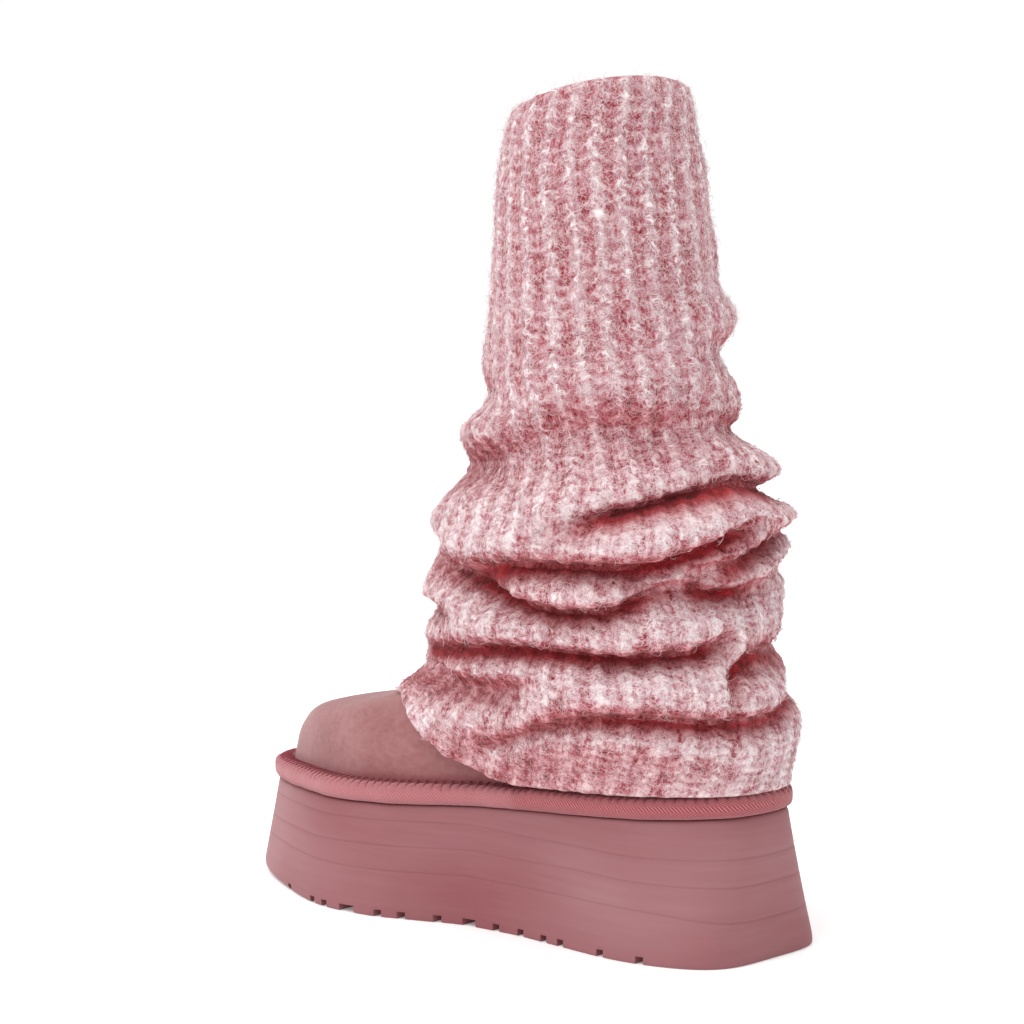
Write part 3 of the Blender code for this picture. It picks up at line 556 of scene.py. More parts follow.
def ramp(tree, factor, stops):
    """Colour ramp from a factor. Stops: place and colour."""
    made = add_node(tree, "ShaderNodeValToRGB", links={"Fac": factor})
    line = made.color_ramp
    while len(line.elements) < len(stops):
        line.elements.new(0.5)
    for element, (place, colour) in zip(line.elements, stops):
        element.position = place
        element.color = (*colour, 1.0) if not np.isscalar(colour) else (colour, colour, colour, 1.0)
    return made.outputs["Color"]


def mix(tree, factor, first, second, blend="MIX"):
    """Mix of two colours; factor, first and second are sockets or plain values."""
    made = add_node(tree, "ShaderNodeMix", {"data_type": "RGBA", "blend_type": blend})
    for key, value in (("Factor", factor), ("A", first), ("B", second)):
        kind = "VALUE" if key == "Factor" else "RGBA"
        socket = [s for s in made.inputs if s.name == key and s.type == kind][0]
        if isinstance(value, bpy.types.NodeSocket):
            tree.links.new(value, socket)
        elif key == "Factor":
            socket.default_value = value
        else:
            socket.default_value = (*value, 1.0)
    return [s for s in made.outputs if s.type == "RGBA"][0]


def maths(tree, operation, first, second=0.0, clamp=False):
    """One sum on values or sockets."""
    made = add_node(tree, "ShaderNodeMath", {"operation": operation, "use_clamp": clamp})
    for index, value in enumerate((first, second)):
        if isinstance(value, bpy.types.NodeSocket):
            tree.links.new(value, made.inputs[index])
        else:
            made.inputs[index].default_value = value
    return made.outputs[0]


def weighted(tree, start, *terms):
    """A start value plus each socket times its weight."""
    total = start
    for source, weight in terms:
        total = maths(tree, "ADD", maths(tree, "MULTIPLY", source, weight), total)
    return total


def noise(tree, place, scale, detail=3.0, roughness=0.55, stretch=(1.0, 1.0, 1.0), distortion=0.0):
    """Noise over a place, stretched; scale is cells for each unit of the place."""
    spot = add_node(tree, "ShaderNodeMapping", values={"Scale": stretch}, links={"Vector": place})
    values = {"Scale": scale, "Detail": detail, "Roughness": roughness, "Distortion": distortion}
    links = {"Vector": spot.outputs["Vector"]}
    return add_node(tree, "ShaderNodeTexNoise", values=values, links=links).outputs["Fac"]


def object_place(tree):
    """Place on the object, in metres."""
    return add_node(tree, "ShaderNodeTexCoord").outputs["Object"]


def field(tree, name):
    """Value stored on the points of a piece."""
    return add_node(tree, "ShaderNodeAttribute", {"attribute_name": name}).outputs["Fac"]


def finish(tree, shader, colour, height, distance, strength):
    """Base colour, and small relief from a height of 0 to 1 over a distance in metres."""
    tree.links.new(colour, shader.inputs["Base Color"])
    made = add_node(
        tree, "ShaderNodeBump", values={"Strength": strength, "Distance": distance}, links={"Height": height}
    )
    tree.links.new(made.outputs["Normal"], shader.inputs["Normal"])


def squiggles(tree, place, scale, width):
    """Curly hairs lying on a face: the thin contour lines of a distorted noise."""
    wave = noise(tree, place, scale, 1.0, 0.5, distortion=1.1)
    off = maths(tree, "ABSOLUTE", maths(tree, "SUBTRACT", wave, 0.5))
    return maths(tree, "SUBTRACT", 1.0, maths(tree, "DIVIDE", off, width), clamp=True)


def knit_material(colours):
    """Brushed wool blend in a rib knit: matt marled yarn that drifts from near white to crimson along each
    row and loose curly hairs lying over it, with painted shade that turns it deep red in the creases and
    under the rolls, and painted fill light on the folded lower part."""
    material, tree, shader = new_material("Brushed wool rib knit", 0.95, sheen=0.12, specular=0.10)
    shader.inputs["Sheen Roughness"].default_value = 0.6
    yarn = add_node(tree, "ShaderNodeUVMap", {"uv_map": "yarn"}).outputs["UV"]
    place = object_place(tree)
    parts = add_node(tree, "ShaderNodeSeparateXYZ", links={"Vector": yarn})
    row = maths(tree, "FLOOR", maths(tree, "ADD", parts.outputs["Y"], 0.5))
    run_place = add_node(tree, "ShaderNodeCombineXYZ", links={
        "X": weighted(tree, 0.0, (parts.outputs["X"], 4.2), (row, 17.3)),
        "Y": maths(tree, "MULTIPLY", row, 5.71),
    }).outputs["Vector"]
    run = noise(tree, run_place, 1.0, 2.0, 0.6)
    fibre = noise(tree, yarn, 1.0, 3.0, 0.7, (13.0, 11.0, 1.0), 1.2)
    speck = noise(tree, place, 420.0, 2.0, 0.6, distortion=0.8)
    cloud = noise(tree, place, 85.0, 3.0, 0.65)
    ridge = field(tree, "ridge")
    shade = field(tree, "shade")
    wale = maths(tree, "COSINE", maths(tree, "MULTIPLY", parts.outputs["X"], 8.0 * math.pi))
    pale = field(tree, "pale")
    # ridge lightens the rib and yarn crests and darkens the furrows: partly the marl's own pattern, partly
    # painted shade in the furrows and painted highlight on the crests
    blend = weighted(
        tree, -0.091, (ridge, 0.15), (wale, 0.014), (shade, -0.10), (pale, 0.050),
        (run, 0.26), (fibre, 0.26), (speck, 0.26), (cloud, 0.22),
    )
    # pale is painted fill light: it lightens the blend above and raises the marl's contrast on the folded
    # lower part
    contrast = weighted(tree, 0.92, (pale, 0.55))
    blend = weighted(tree, 0.52, (maths(tree, "SUBTRACT", blend, 0.52), contrast))
    stops = (
        (0.35, colours.wool_deep), (0.42, colours.wool_crimson), (0.50, colours.wool_rose),
        (0.59, colours.wool_pale), (0.68, colours.wool_white),
    )
    colour = ramp(tree, blend, stops)
    fine = maths(tree, "MAXIMUM", squiggles(tree, place, 260.0, 0.034), squiggles(tree, place, 430.0, 0.040))
    bold = squiggles(tree, place, 190.0, 0.050)
    bold = maths(tree, "MULTIPLY", bold, maths(tree, "ADD", ridge, 0.15), clamp=True)
    fine = maths(tree, "MULTIPLY", fine, weighted(tree, 0.32, (ridge, 0.45)))
    # Painted shade: fewer white hairs and a redder, darker yarn where the cloth faces down or lies in a
    # hollow
    hairs = maths(tree, "MULTIPLY", maths(tree, "MAXIMUM", fine, bold), weighted(tree, 1.0, (shade, -0.40)))
    colour = mix(tree, hairs, colour, hex_colour(HAIR_WHITE))
    colour = mix(tree, shade, colour, UNDERSIDE_SHADE_TINT, "MULTIPLY")
    # Painted crease shade: the yarn multiplied towards deep red, mottled by the fibre noise, below the
    # drooping lips
    deep = maths(tree, "MULTIPLY", field(tree, "crease"), weighted(tree, 0.70, (fibre, 0.9)))
    colour = mix(tree, deep, colour, CREASE_SHADE_TINT, "MULTIPLY")
    finish(tree, shader, colour, weighted(tree, fibre, (hairs, 1.1), (speck, 1.0)), 0.40 * MM, 0.7)
    return material


def fibre_material(colours):
    """Loose wool fibres: thin, matt, mostly near white with some pink and crimson at random, and crimson
    under painted shade in the creases and under the rolls.
    """
    material, tree, shader = new_material("Loose wool fibres", 0.9, sheen=0.2, specular=0.2)
    stops = (
        (0.00, colours.wool_white), (0.52, colours.wool_white), (0.68, colours.wool_pale),
        (0.82, colours.wool_rose), (0.95, colours.wool_crimson),
    )
    tree.links.new(ramp(tree, field(tree, "tint_and_shade"), stops), shader.inputs["Base Color"])
    return material


def suede_material(colours):
    """Split sheepskin suede: a short nap brushed in patches, so its colour shifts by the hand's width
    and by the millimetre, with a soft sheen and no gloss."""
    material, tree, shader = new_material("Napped suede", 0.92, sheen=0.30, specular=0.15)
    shader.inputs["Sheen Roughness"].default_value = 0.5
    place = object_place(tree)
    patch = noise(tree, place, 24.0, 3.0, 0.6, (1.0, 1.0, 1.4))
    nap = noise(tree, place, 420.0, 3.0, 0.65, (1.0, 0.6, 1.0))
    grain = noise(tree, place, 1500.0, 2.0, 0.6)
    blend = weighted(tree, 0.0, (patch, 0.6), (nap, 0.4))
    colour = ramp(tree, blend, ((0.34, colours.suede), (0.66, colours.suede_light)))
    # Darker along the foot of the upper: partly the pressed edge and seam, partly painted shade in the groove
    # above the tape
    colour = mix(tree, maths(tree, "MULTIPLY", field(tree, "welt"), 0.45), colour, hex_colour(SUEDE_SEAM_AND_SHADE))
    finish(tree, shader, colour, maths(tree, "ADD", nap, grain), 0.25 * MM, 0.55)
    return material


def tape_material(colours):
    """Cotton twill tape: diagonal ribs 0.9 mm apart, drawn a little coarser than real ones so that they
    show, over a soft matt weave."""
    material, tree, shader = new_material("Cotton twill tape", 0.88, sheen=0.2, specular=0.2)
    yarn = add_node(tree, "ShaderNodeUVMap", {"uv_map": "yarn"}).outputs["UV"]
    parts = add_node(tree, "ShaderNodeSeparateXYZ", links={"Vector": yarn})
    slant = weighted(tree, parts.outputs["X"], (parts.outputs["Y"], -1.9))
    wave = maths(tree, "SINE", maths(tree, "MULTIPLY", slant, 2.0 * math.pi / 1.5))
    wave = weighted(tree, 0.5, (wave, 0.5))
    speck = noise(tree, yarn, 1.0, 3.0, 0.6, (1.1, 1.8, 1.0))
    blend = weighted(tree, 0.0, (wave, 0.55), (speck, 0.45))
    stops = ((0.25, hex_colour(TAPE_SHADOW)), (0.50, colours.tape), (0.80, colours.tape_light))
    colour = ramp(tree, blend, stops)
    colour = mix(tree, maths(tree, "MULTIPLY", field(tree, "front"), 0.42), colour, hex_colour(TAPE_AT_TOE))
    finish(tree, shader, colour, blend, 0.4 * MM, 0.8)
    return material


def foam_material(colours):
    """Moulded EVA foam: satin-matt, a fine orange-peel skin and paler long level streaks, with painted light
    that makes the toe and the heel paler and painted shade in the lines round the side.
    """
    material, tree, shader = new_material("Moulded foam", 0.62, specular=0.3)
    place = object_place(tree)
    broad = noise(tree, place, 9.0, 2.0, 0.5, (1.0, 1.0, 2.2))
    streak = noise(tree, place, 60.0, 3.0, 0.6, (0.35, 0.35, 7.0))
    fine = noise(tree, place, 900.0, 2.0, 0.5)
    blend = weighted(tree, 0.0, (broad, 0.55), (streak, 0.15), (field(tree, "paler_where_lit"), 0.30))
    colour = ramp(tree, blend, ((0.30, colours.foam), (0.62, colours.foam_light)))
    # Painted shade in the narrow lines round the side wall
    colour = mix(tree, maths(tree, "MULTIPLY", field(tree, "line"), 0.24), colour, hex_colour(FOAM_LINE_SHADE))
    finish(tree, shader, colour, maths(tree, "ADD", fine, streak), 0.12 * MM, 0.35)
    return material


def fleece_material(colours):
    """Wool fleece: short dense curls, matt with a strong sheen."""
    material, tree, shader = new_material("Wool fleece", 0.95, sheen=0.5, specular=0.1)
    place = object_place(tree)
    curl = noise(tree, place, 330.0, 3.0, 0.6, distortion=1.2)
    colour = ramp(tree, curl, ((0.35, hex_colour(FLEECE_ROOTS)), (0.65, colours.fleece)))
    finish(tree, shader, colour, curl, 1.0 * MM, 0.8)
    return material


def plain_material(name, colour, roughness):
    """Plain matt finish for the stage."""
    material, _, shader = new_material(name, roughness)
    shader.inputs["Base Color"].default_value = (*colour, 1.0)
    return material


# ---- sole


def sole_ring(turn, share_up, inset):
    """One ring of the sole's side wall; heights run between the ground line and the deck."""
    x, y, share = inset_outline(turn, inset, share_up)
    low = ground_height(share)
    top = deck_height(share) * (share_up < 1.0) + deck_at(y) * (share_up >= 1.0)
    z = low + (top - low) * share_up
    return np.stack([x, y, z], axis=1)


def sole_rings(turn, depth):
    """Rings of the side wall from the ground to the deck: a rounded lower edge that grows towards the
    toe, three narrow lines pressed in by the depth, and a rounded top edge. Returns the rings and how
    much each point belongs to a line."""
    share = share_at(turn)
    under = EDGE_HEEL + (EDGE_TOE - EDGE_HEEL) * smooth_step((share - 0.6) / 0.4)
    rings = []
    lines = []
    for up, part in ((0.0, 1.0), (0.008, 0.72), (0.022, 0.42), (0.045, 0.18), (0.08, 0.04), (0.12, 0.0)):
        rings.append(sole_ring(turn, up, under * part))
        lines.append(0.0)
    previous = np.full(len(turn), 0.12)
    for index in (3, 2, 1):
        middle = from_table(SIDE_LINES, index, share)
        reach = 0.65 * MM / DECK_HEEL
        for part in (0.2, 0.4, 0.6, 0.8):
            rings.append(sole_ring(turn, previous + (middle - reach - previous) * part, 0.0))
            lines.append(0.0)
        for offset, deep, line in LINE_SECTION:
            rings.append(sole_ring(turn, middle + offset * reach, deep * depth))
            lines.append(line)
        previous = middle + reach
    for part in (0.3, 0.6):
        rings.append(sole_ring(turn, previous + (0.97 - previous) * part, 0.0))
        lines.append(0.0)
    for up, inset in ((0.97, 0.0), (0.985, 0.25), (0.995, 0.6), (1.0, 1.0)):
        rings.append(sole_ring(turn, up, TOP_EDGE * inset))
        lines.append(0.0)
    return rings, lines


class BootSole(bpy.types.Operator):
    """Build the foam platform: flared side wall with three pressed lines, tread cut from below."""
    bl_idname = "boot.platform_sole"
    bl_label = "Platform sole"

    def execute(self, context):
        """Lay the rings, cap them and cut the channels between the lugs."""
        sizes = context.scene.boot_sizes
        count = SOLE_COLUMNS
        turn = turns(count)
        rings, lines = sole_rings(turn, sizes.line_depth)
        points = np.concatenate(rings)
        last = (len(rings) - 1) * count
        faces = [ring_quads(len(rings), count)]
        faces += strip_faces(0, count, True) + strip_faces(last, count, False)
        line = np.repeat(lines, count)
        share = np.tile(share_at(turn), len(rings))
        # Painted light: the foam is paler at the toe and a little near the heel, where the light falls on it
        paler_where_lit = 0.95 * smooth_step((share - 0.74) / 0.24) + 0.15 * hump((share - 0.17) / 0.12)
        sole = make_piece(
            "platform_sole_skin", points, faces,
            foam_material(context.scene.boot_colours), {"line": line, "paler_where_lit": paler_where_lit + 0.1},
        )
        clean_doubles(sole)
        cut_tread(sole)
        sole.data.shade_smooth()
        sole.data.set_sharp_from_angle(angle=math.radians(38.0))
        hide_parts("platform_sole")
        return {"FINISHED"}


def cut_tread(sole):
    """Channels between the lugs, cut right across the underside."""
    reach = 0.5 * SOLE_TOP_WIDTH + 2.0 * SOLE_FLARE_SIDE
    back = SOLE_TOP_SHIFT + 0.5 * SOLE_TOP_LENGTH + SOLE_FLARE_HEEL
    length = SOLE_TOP_LENGTH + SOLE_FLARE_HEEL + SOLE_FLARE_TOE
    share = np.array([row[0] for row in TREAD_GAPS])
    width = np.array([row[1] for row in TREAD_GAPS]) * MM
    y = back - length * share
    top = ground_height(share) + TREAD_DEPTH
    signs = np.array([(x, s, z) for z in (0, 1) for s in (-1, 1) for x in (-1, 1)])
    corner_x = np.broadcast_to(signs[None, :, 0] * reach, (len(share), 8))
    corner_y = y[:, None] + signs[None, :, 1] * 0.5 * width[:, None]
    corner_z = np.where(signs[None, :, 2] > 0, top[:, None], -4.0 * MM)
    points = np.stack([corner_x, corner_y, corner_z], axis=-1).reshape(-1, 3)
    box = np.array([(0, 2, 3, 1), (4, 5, 7, 6), (0, 1, 5, 4), (2, 6, 7, 3), (0, 4, 6, 2), (1, 3, 7, 5)])
    faces = (box[None] + 8 * np.arange(len(share))[:, None, None]).reshape(-1, 4)
    mesh = bpy.data.meshes.new("tread_cutter")
    mesh.from_pydata(points.tolist(), [], faces.tolist())
    cutter = bpy.data.objects.new("tread_cutter", mesh)
    bpy.context.scene.collection.objects.link(cutter)
    cut = sole.modifiers.new("tread", "BOOLEAN")
    cut.operation = "DIFFERENCE"
    cut.solver = "EXACT"
    cut.object = cutter
    graph = bpy.context.evaluated_depsgraph_get()
    done = bpy.data.meshes.new_from_object(sole.evaluated_get(graph))
    old = sole.data
    sole.modifiers.clear()
    sole.data = done
    bpy.data.meshes.remove(old)
    bpy.data.objects.remove(cutter, do_unlink=True)


# ---- tape


def tape_skin(turn, way, length, across, pitch):
    """Tape rolled round the feather line: a superellipse section swept along the sole's top outline. Its
    top edge dips at every stitch, and one end laps over the other on the inner side. Returns the grid."""
    share = share_at(turn)
    x, y, _ = outline(turn, 0.0, 0.0, 0.0, ROUNDNESS_TOP)
    step_x = np.roll(x, -1) - np.roll(x, 1)
    step_y = np.roll(y, -1) - np.roll(y, 1)
    size = np.hypot(step_x, step_y)
    out = np.stack([-step_y / size, step_x / size], axis=-1)
    half = 0.5 * TAPE_THICKNESS
    tall = 0.5 * TAPE_HEIGHT
    power = 0.62
    dx = np.sign(np.cos(across)) * np.abs(np.cos(across)) ** power * half
    dz = np.sign(np.sin(across)) * np.abs(np.sin(across)) ** power * tall
    spot = way[:, None] * length
    medial = (np.sin(turn) > 0.0)[:, None]
    lap = (share[:, None] - TAPE_JOIN_SHARE) * SOLE_TOP_LENGTH + 0.9 * dz[None, :]
    fades = hump(np.minimum(lap + 1.0 * MM, 0.0) / (20.0 * MM))
    over = smooth_step(0.5 - lap / (2.2 * MM)) * fades * medial
    dip = (0.5 + 0.5 * np.cos(2.0 * math.pi * spot / pitch)) ** 3
    upper_edge = smooth_step((dz[None, :] / tall - 0.35) / 0.5)
    lower_edge = smooth_step((-dz[None, :] / tall - 0.55) / 0.4)
    press = 0.45 * MM * dip * upper_edge + 0.25 * MM * dip * lower_edge
    swell = 0.95 * MM * over * smooth_step((dx[None, :] / half + 0.4) / 0.8)
    slack = 0.18 * MM * np.sin(spot / (6.5 * MM)) + 0.15 * MM * np.sin(spot / (2.9 * MM) + 1.3)
    outer = dx[None, :] > 0.0
    reach = TAPE_STANDS_OUT - half + dx[None, :] + swell - press * outer + slack * outer
    px = x[:, None] + out[:, None, 0] * reach
    py = y[:, None] + out[:, None, 1] * reach
    pz = deck_at(y)[:, None] + GAP + tall + dz[None, :] - press * upper_edge * 1.2
    pz = pz + 0.45 * swell * (dz[None, :] > 0.0)
    return np.stack([px, py, pz], axis=-1)


def thread_loops(middle, start, end, lift, radius, sides=6, steps=6):
    """Stitches as bent tubes: each runs from a start over a raised middle to an end along a parabola,
    with a round section. Arrays hold one row for each stitch."""
    t = np.linspace(0.0, 1.0, steps)[None, :, None]
    raised = 2.0 * (middle + lift)[:, None] * t * (1 - t)
    path = start[:, None] * (1 - t) ** 2 + raised + end[:, None] * t ** 2
    along = unit(np.gradient(path, axis=1))
    side = unit(np.cross(along, unit(lift)[:, None]))
    other = np.cross(side, along)
    angle = turns(sides)
    ring = np.cos(angle)[:, None] * side[:, :, None] + np.sin(angle)[:, None] * other[:, :, None]
    taper = (radius * np.sin(np.linspace(0.25, math.pi - 0.25, steps)) ** 0.3)[None, :, None, None]
    points = path[:, :, None] + ring * taper
    count = len(points)
    tube = ring_quads(steps, sides)[:, ::-1]
    faces = (tube[None] + (steps * sides * np.arange(count))[:, None, None]).reshape(-1, 4)
    return points.reshape(-1, 3), faces


class BootTape(bpy.types.Operator):
    """Build the rolled twill tape round the sole's top edge and the stitches that hold it."""
    bl_idname = "boot.welt_tape"
    bl_label = "Welt tape"

    def execute(self, context):
        """Sweep the tape, then set the stitches over its top edge."""
        sizes = context.scene.boot_sizes
        count, around = TAPE_COLUMNS, TAPE_ROWS
        turn, length = even_turns(count)
        way = np.arange(count) / count
        stitches = int(round(length / sizes.stitch_pitch))
        pitch = length / stitches
        across = turns(around, -0.5 * math.pi)
        grid = tape_skin(turn, way, length, across, pitch)
        points = np.swapaxes(grid, 0, 1).reshape(-1, 3)
        faces = ring_quads(around, count, closed=True)
        along = np.arange(count + 1) * length / count / MM
        round_way = np.arange(around + 1) * (2.0 * (TAPE_HEIGHT + TAPE_THICKNESS) * 0.88 / around) / MM
        corners = [
            np.broadcast_arrays(along[None, a:count + a], round_way[b:around + b, None])
            for a, b in ((0, 0), (0, 1), (1, 1), (1, 0))
        ]
        uv = np.stack([np.stack(pair, axis=-1) for pair in corners], axis=-2).reshape(-1, 2)
        share = share_at(turn)
        front = smooth_step((share - TAPE_JOIN_SHARE + 0.01) / 0.03)
        tape = make_piece(
            "welt_tape_skin", points, faces, tape_material(context.scene.boot_colours),
            {"front": np.tile(front, around)}, uv,
        )
        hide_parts("welt_tape")
        self.stitch(turn, length, pitch, stitches, sizes.thread)
        return {"FINISHED"}

    def stitch(self, turn, length, pitch, stitches, radius):
        """Whip stitches from the tape's face over its top edge into the suede, one in each dip."""
        place = (np.arange(stitches) * pitch / length) * len(turn)
        at = np.interp(place, np.arange(len(turn)), turn)
        x, y, _ = outline(at, 0.0, 0.0, 0.0, ROUNDNESS_TOP)
        ahead_x, ahead_y, _ = outline(at + 0.004, 0.0, 0.0, 0.0, ROUNDNESS_TOP)
        step = np.stack([ahead_x - x, ahead_y - y, np.zeros_like(x)], axis=-1)
        step /= np.linalg.norm(step, axis=-1, keepdims=True)
        out = np.stack([-step[:, 1], step[:, 0], np.zeros_like(x)], axis=-1)
        base = np.stack([x, y, deck_at(y) + GAP + TAPE_HEIGHT], axis=-1)
        up = np.array([[0.0, 0.0, 1.0]])
        start = base + out * (TAPE_STANDS_OUT - 0.35 * MM) - up * 2.3 * MM - step * 0.7 * MM
        end = base - out * (UPPER_INSET - 0.2 * MM) + up * 0.6 * MM + step * 0.7 * MM
        middle = 0.5 * (start + end)
        lift = out * 1.5 * MM + up * 2.6 * MM
        points, faces = thread_loops(middle, start, end, lift, radius)
        make_piece(
            "welt_stitches", points, faces,
            plain_material("Waxed sewing thread", hex_colour(THREAD_RED), 0.75),
        )


# ---- upper


def upper_surface(level, turn, inset=0.0):
    """Outside of the suede upper at a level (0 feather line, 14 collar) and a turn. Each level is one
    slanted plane between its front and back points; its half width goes from the foot's outline to a
    plain oval as it climbs."""
    level, turn = np.broadcast_arrays(np.asarray(level, float), np.asarray(turn, float))
    share = share_at(turn)
    front = UPPER_HEEL_Y - UPPER_LENGTH * from_table(UPPER_ROWS, 1, level) + inset
    back = UPPER_HEEL_Y - UPPER_LENGTH * from_table(UPPER_ROWS, 3, level) - inset
    y = back + (front - back) * share
    along = (UPPER_HEEL_Y - y) / UPPER_LENGTH
    foot = from_table(UPPER_ROWS, 6, level)
    medial = from_table(OUTLINE, 1, along)
    lateral = from_table(OUTLINE, 2, along)
    table = np.where(np.sin(turn) >= 0.0, medial, lateral)
    side = foot * table + (1.0 - foot)
    half = 0.5 * UPPER_BALL_WIDTH * from_table(UPPER_ROWS, 5, level) * side - inset
    power = (ROUNDNESS_TOP[0] + (ROUNDNESS_TOP[1] - ROUNDNESS_TOP[0]) * share) * foot + (1.0 - foot) * 0.96
    x = np.sign(np.sin(turn)) * np.abs(np.sin(turn)) ** power * half + SOLE_LINE_SHIFT * foot
    low = DECK_HEEL + UPPER_HEIGHT * from_table(UPPER_ROWS, 4, level)
    high = DECK_HEEL + UPPER_HEIGHT * from_table(UPPER_ROWS, 2, level)
    plane = low + (high - low) * share - DECK_SAG * foot * np.sin(math.pi * share)
    bottom = smooth_step(1.0 - level)
    z = plane * (1.0 - bottom) + (deck_at(y) + GAP) * bottom
    return np.stack([x, y, z], axis=-1)


def fleece_curls(points, seed):
    """Height of fleece curls from 0 to about 1: the sizes of two smooth random fields, 7 and 4 mm across."""
    return np.abs(wobble(points, 7.0 * MM, seed)) * 0.6 + np.abs(wobble(points, 4.0 * MM, seed + 1)) * 0.4


class BootUpper(bpy.types.Operator):
    """Build the suede bootie on its last, with a rolled collar and a fleece lining."""
    bl_idname = "boot.suede_upper"
    bl_label = "Suede upper"

    def execute(self, context):
        """Lay the suede outside the frame's wall and the fleece inside it."""
        sizes = context.scene.boot_sizes
        colours = context.scene.boot_colours
        count = UPPER_COLUMNS
        turn = turns(count)
        level = np.linspace(0.0, COLLAR_LEVEL, UPPER_LEVELS)
        outer = upper_surface(level[:, None], turn[None, :])
        normal = grid_normals(outer)
        soft = wobble(outer, 46.0 * MM, 11, (1.0, 1.0, 1.3)) * smooth_step((level[:, None] - 1.0) / 2.0)
        share = share_at(turn)[None, :]
        full = smooth_step((share - 0.66) / 0.20) * smooth_step((level[:, None] - 1.5) / 1.5)
        outer = outer + normal * (soft * 0.28 * MM + full * 1.0 * MM)[..., None]
        roll = np.linspace(0.0, math.pi, 7)[1:-1]
        half = 0.5 * UPPER_WALL
        top = outer[-1] - normal[-1] * half
        lip = [top + normal[-1] * half * math.cos(a) + np.array([0.0, 0.0, half * math.sin(a)]) for a in roll]
        inner = (outer - normal * (UPPER_WALL - 0.5 * MM))[::-4]
        grid = np.concatenate([outer, np.stack(lip), inner])
        # welt: the band just above the tape that the suede's colour darkens, partly seam and partly painted
        # shade
        welt = np.zeros(grid.shape[:2])
        welt[:len(level)] = 1.0 - smooth_step((level[:, None] - 0.95) / 0.30)
        upper = make_piece(
            "suede_upper_skin", grid.reshape(-1, 3), ring_quads(len(grid), count, closed=True),
            suede_material(colours), {"welt": welt},
        )
        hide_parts("suede_upper")
        self.line(context, sizes.pile)
        return {"FINISHED"}

    def line(self, context, pile):
        """Fleece lining: the inner face of the wall with curls as bumps of the pile's height."""
        count = LINING_COLUMNS
        turn = turns(count)
        level = np.linspace(1.2, 13.6, LINING_LEVELS)
        wall = upper_surface(level[:, None], turn[None, :])
        normal = grid_normals(wall)
        face = wall - normal * (UPPER_WALL - 0.2 * MM)
        curls = fleece_curls(wall, 21)
        back = (face + normal * 0.5 * MM)[::-6]
        front = face - normal * (curls * pile)[..., None]
        grid = np.concatenate([front[::-1], back[::-1]])
        make_piece(
            "fleece_lining", grid.reshape(-1, 3), ring_quads(len(grid), count, closed=True),
            fleece_material(context.scene.boot_colours),
        )


class BootInsole(bpy.types.Operator):
    """Build the fleece insole on the deck."""
    bl_idname = "boot.insole"
    bl_label = "Insole"

    def execute(self, context):
        """Rings from the rim to the middle line, its top covered in curls."""
        sizes = context.scene.boot_sizes
        count = INSOLE_COLUMNS
        turn = turns(count)
        base = UPPER_INSET + UPPER_WALL + INSOLE_MARGIN
        rings = []
        for up, inset in ((0.0, 0.0), (0.35, -0.2), (0.7, 0.1), (0.92, 1.0), (1.0, 2.4)):
            grow = -(base + inset * MM)
            x, y, _ = outline(turn, grow, grow, grow, ROUNDNESS_TOP)
            rings.append(np.stack([x, y, deck_at(y) + GAP + INSOLE_THICKNESS * up], axis=1))
        rim = rings[-1]
        middle = np.stack([np.full(count, SOLE_LINE_SHIFT), rim[:, 1], rim[:, 2]], axis=1)
        rings += [rim + (middle - rim) * part for part in np.linspace(0.0, 1.0, INSOLE_RINGS)[1:]]
        grid = np.stack(rings)
        curls = fleece_curls(grid, 31)
        covered = smooth_step((np.arange(len(grid)) - 2.0) / 3.0)[:, None]
        grid[..., 2] += (curls - 0.9) * 0.9 * sizes.pile * covered
        faces = [ring_quads(len(grid), count)] + strip_faces(0, count, True)
        insole = make_piece(
            "insole_fleece", grid.reshape(-1, 3), faces,
            fleece_material(context.scene.boot_colours),
        )
        clean_doubles(insole)
        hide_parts("insole")
        return {"FINISHED"}


# ---- leg warmer


def hem_thickness(turn):
    """Outer face of the hem above the suede: full at the heel, thinner over the vamp."""
    share = share_at(turn)
    return KNIT_HEM_BACK + (KNIT_HEM_FRONT - KNIT_HEM_BACK) * smooth_step((share - 0.35) / 0.4)


def hem_surface(level, turn, thick):
    """Points over the upper along the hem's path, held off the suede by a thickness."""
    share = share_at(turn)
    place = from_table(HEM_PATH, 1, share) + COLLAR_LEVEL * level
    step = 0.05
    here = upper_surface(place, turn)
    across = upper_surface(place, turn + step) - upper_surface(place, turn - step)
    along = upper_surface(place + step, turn) - upper_surface(place - step, turn)
    return here + unit(np.cross(along, across)) * np.asarray(thick)[..., None]


def knit_base(level, turn):
    """Leg warmer without folds at a level (0 hem, 1 rim): near the hem it follows the upper, above it
    each level is one slanted oval between its front and back points."""
    level, turn = np.broadcast_arrays(np.asarray(level, float), np.asarray(turn, float))
    share = share_at(turn)
    back = KNIT_WIDTH * from_table(KNIT_ROWS, 1, level)
    front = KNIT_WIDTH * from_table(KNIT_ROWS, 2, level)
    low = KNIT_HEIGHT * from_table(KNIT_ROWS, 3, level)
    high = KNIT_HEIGHT * from_table(KNIT_ROWS, 4, level)
    half = 0.5 * KNIT_WIDTH * from_table(KNIT_ROWS, 5, level)
    power = 0.80 + 0.20 * smooth_step(level / 0.30)
    x = np.sign(np.sin(turn)) * np.abs(np.sin(turn)) ** power * half
    y = back + (front - back) * share
    z = low + (high - low) * share + RIM_MEDIAL_TILT * np.sin(turn) * smooth_step((level - 0.7) / 0.3)
    tube = np.stack([x, y, z], axis=-1)
    hem = hem_surface(level, turn, hem_thickness(turn))
    follow = from_table(KNIT_ROWS, 6, level)[..., None]
    return tube * (1.0 - follow) + hem * follow


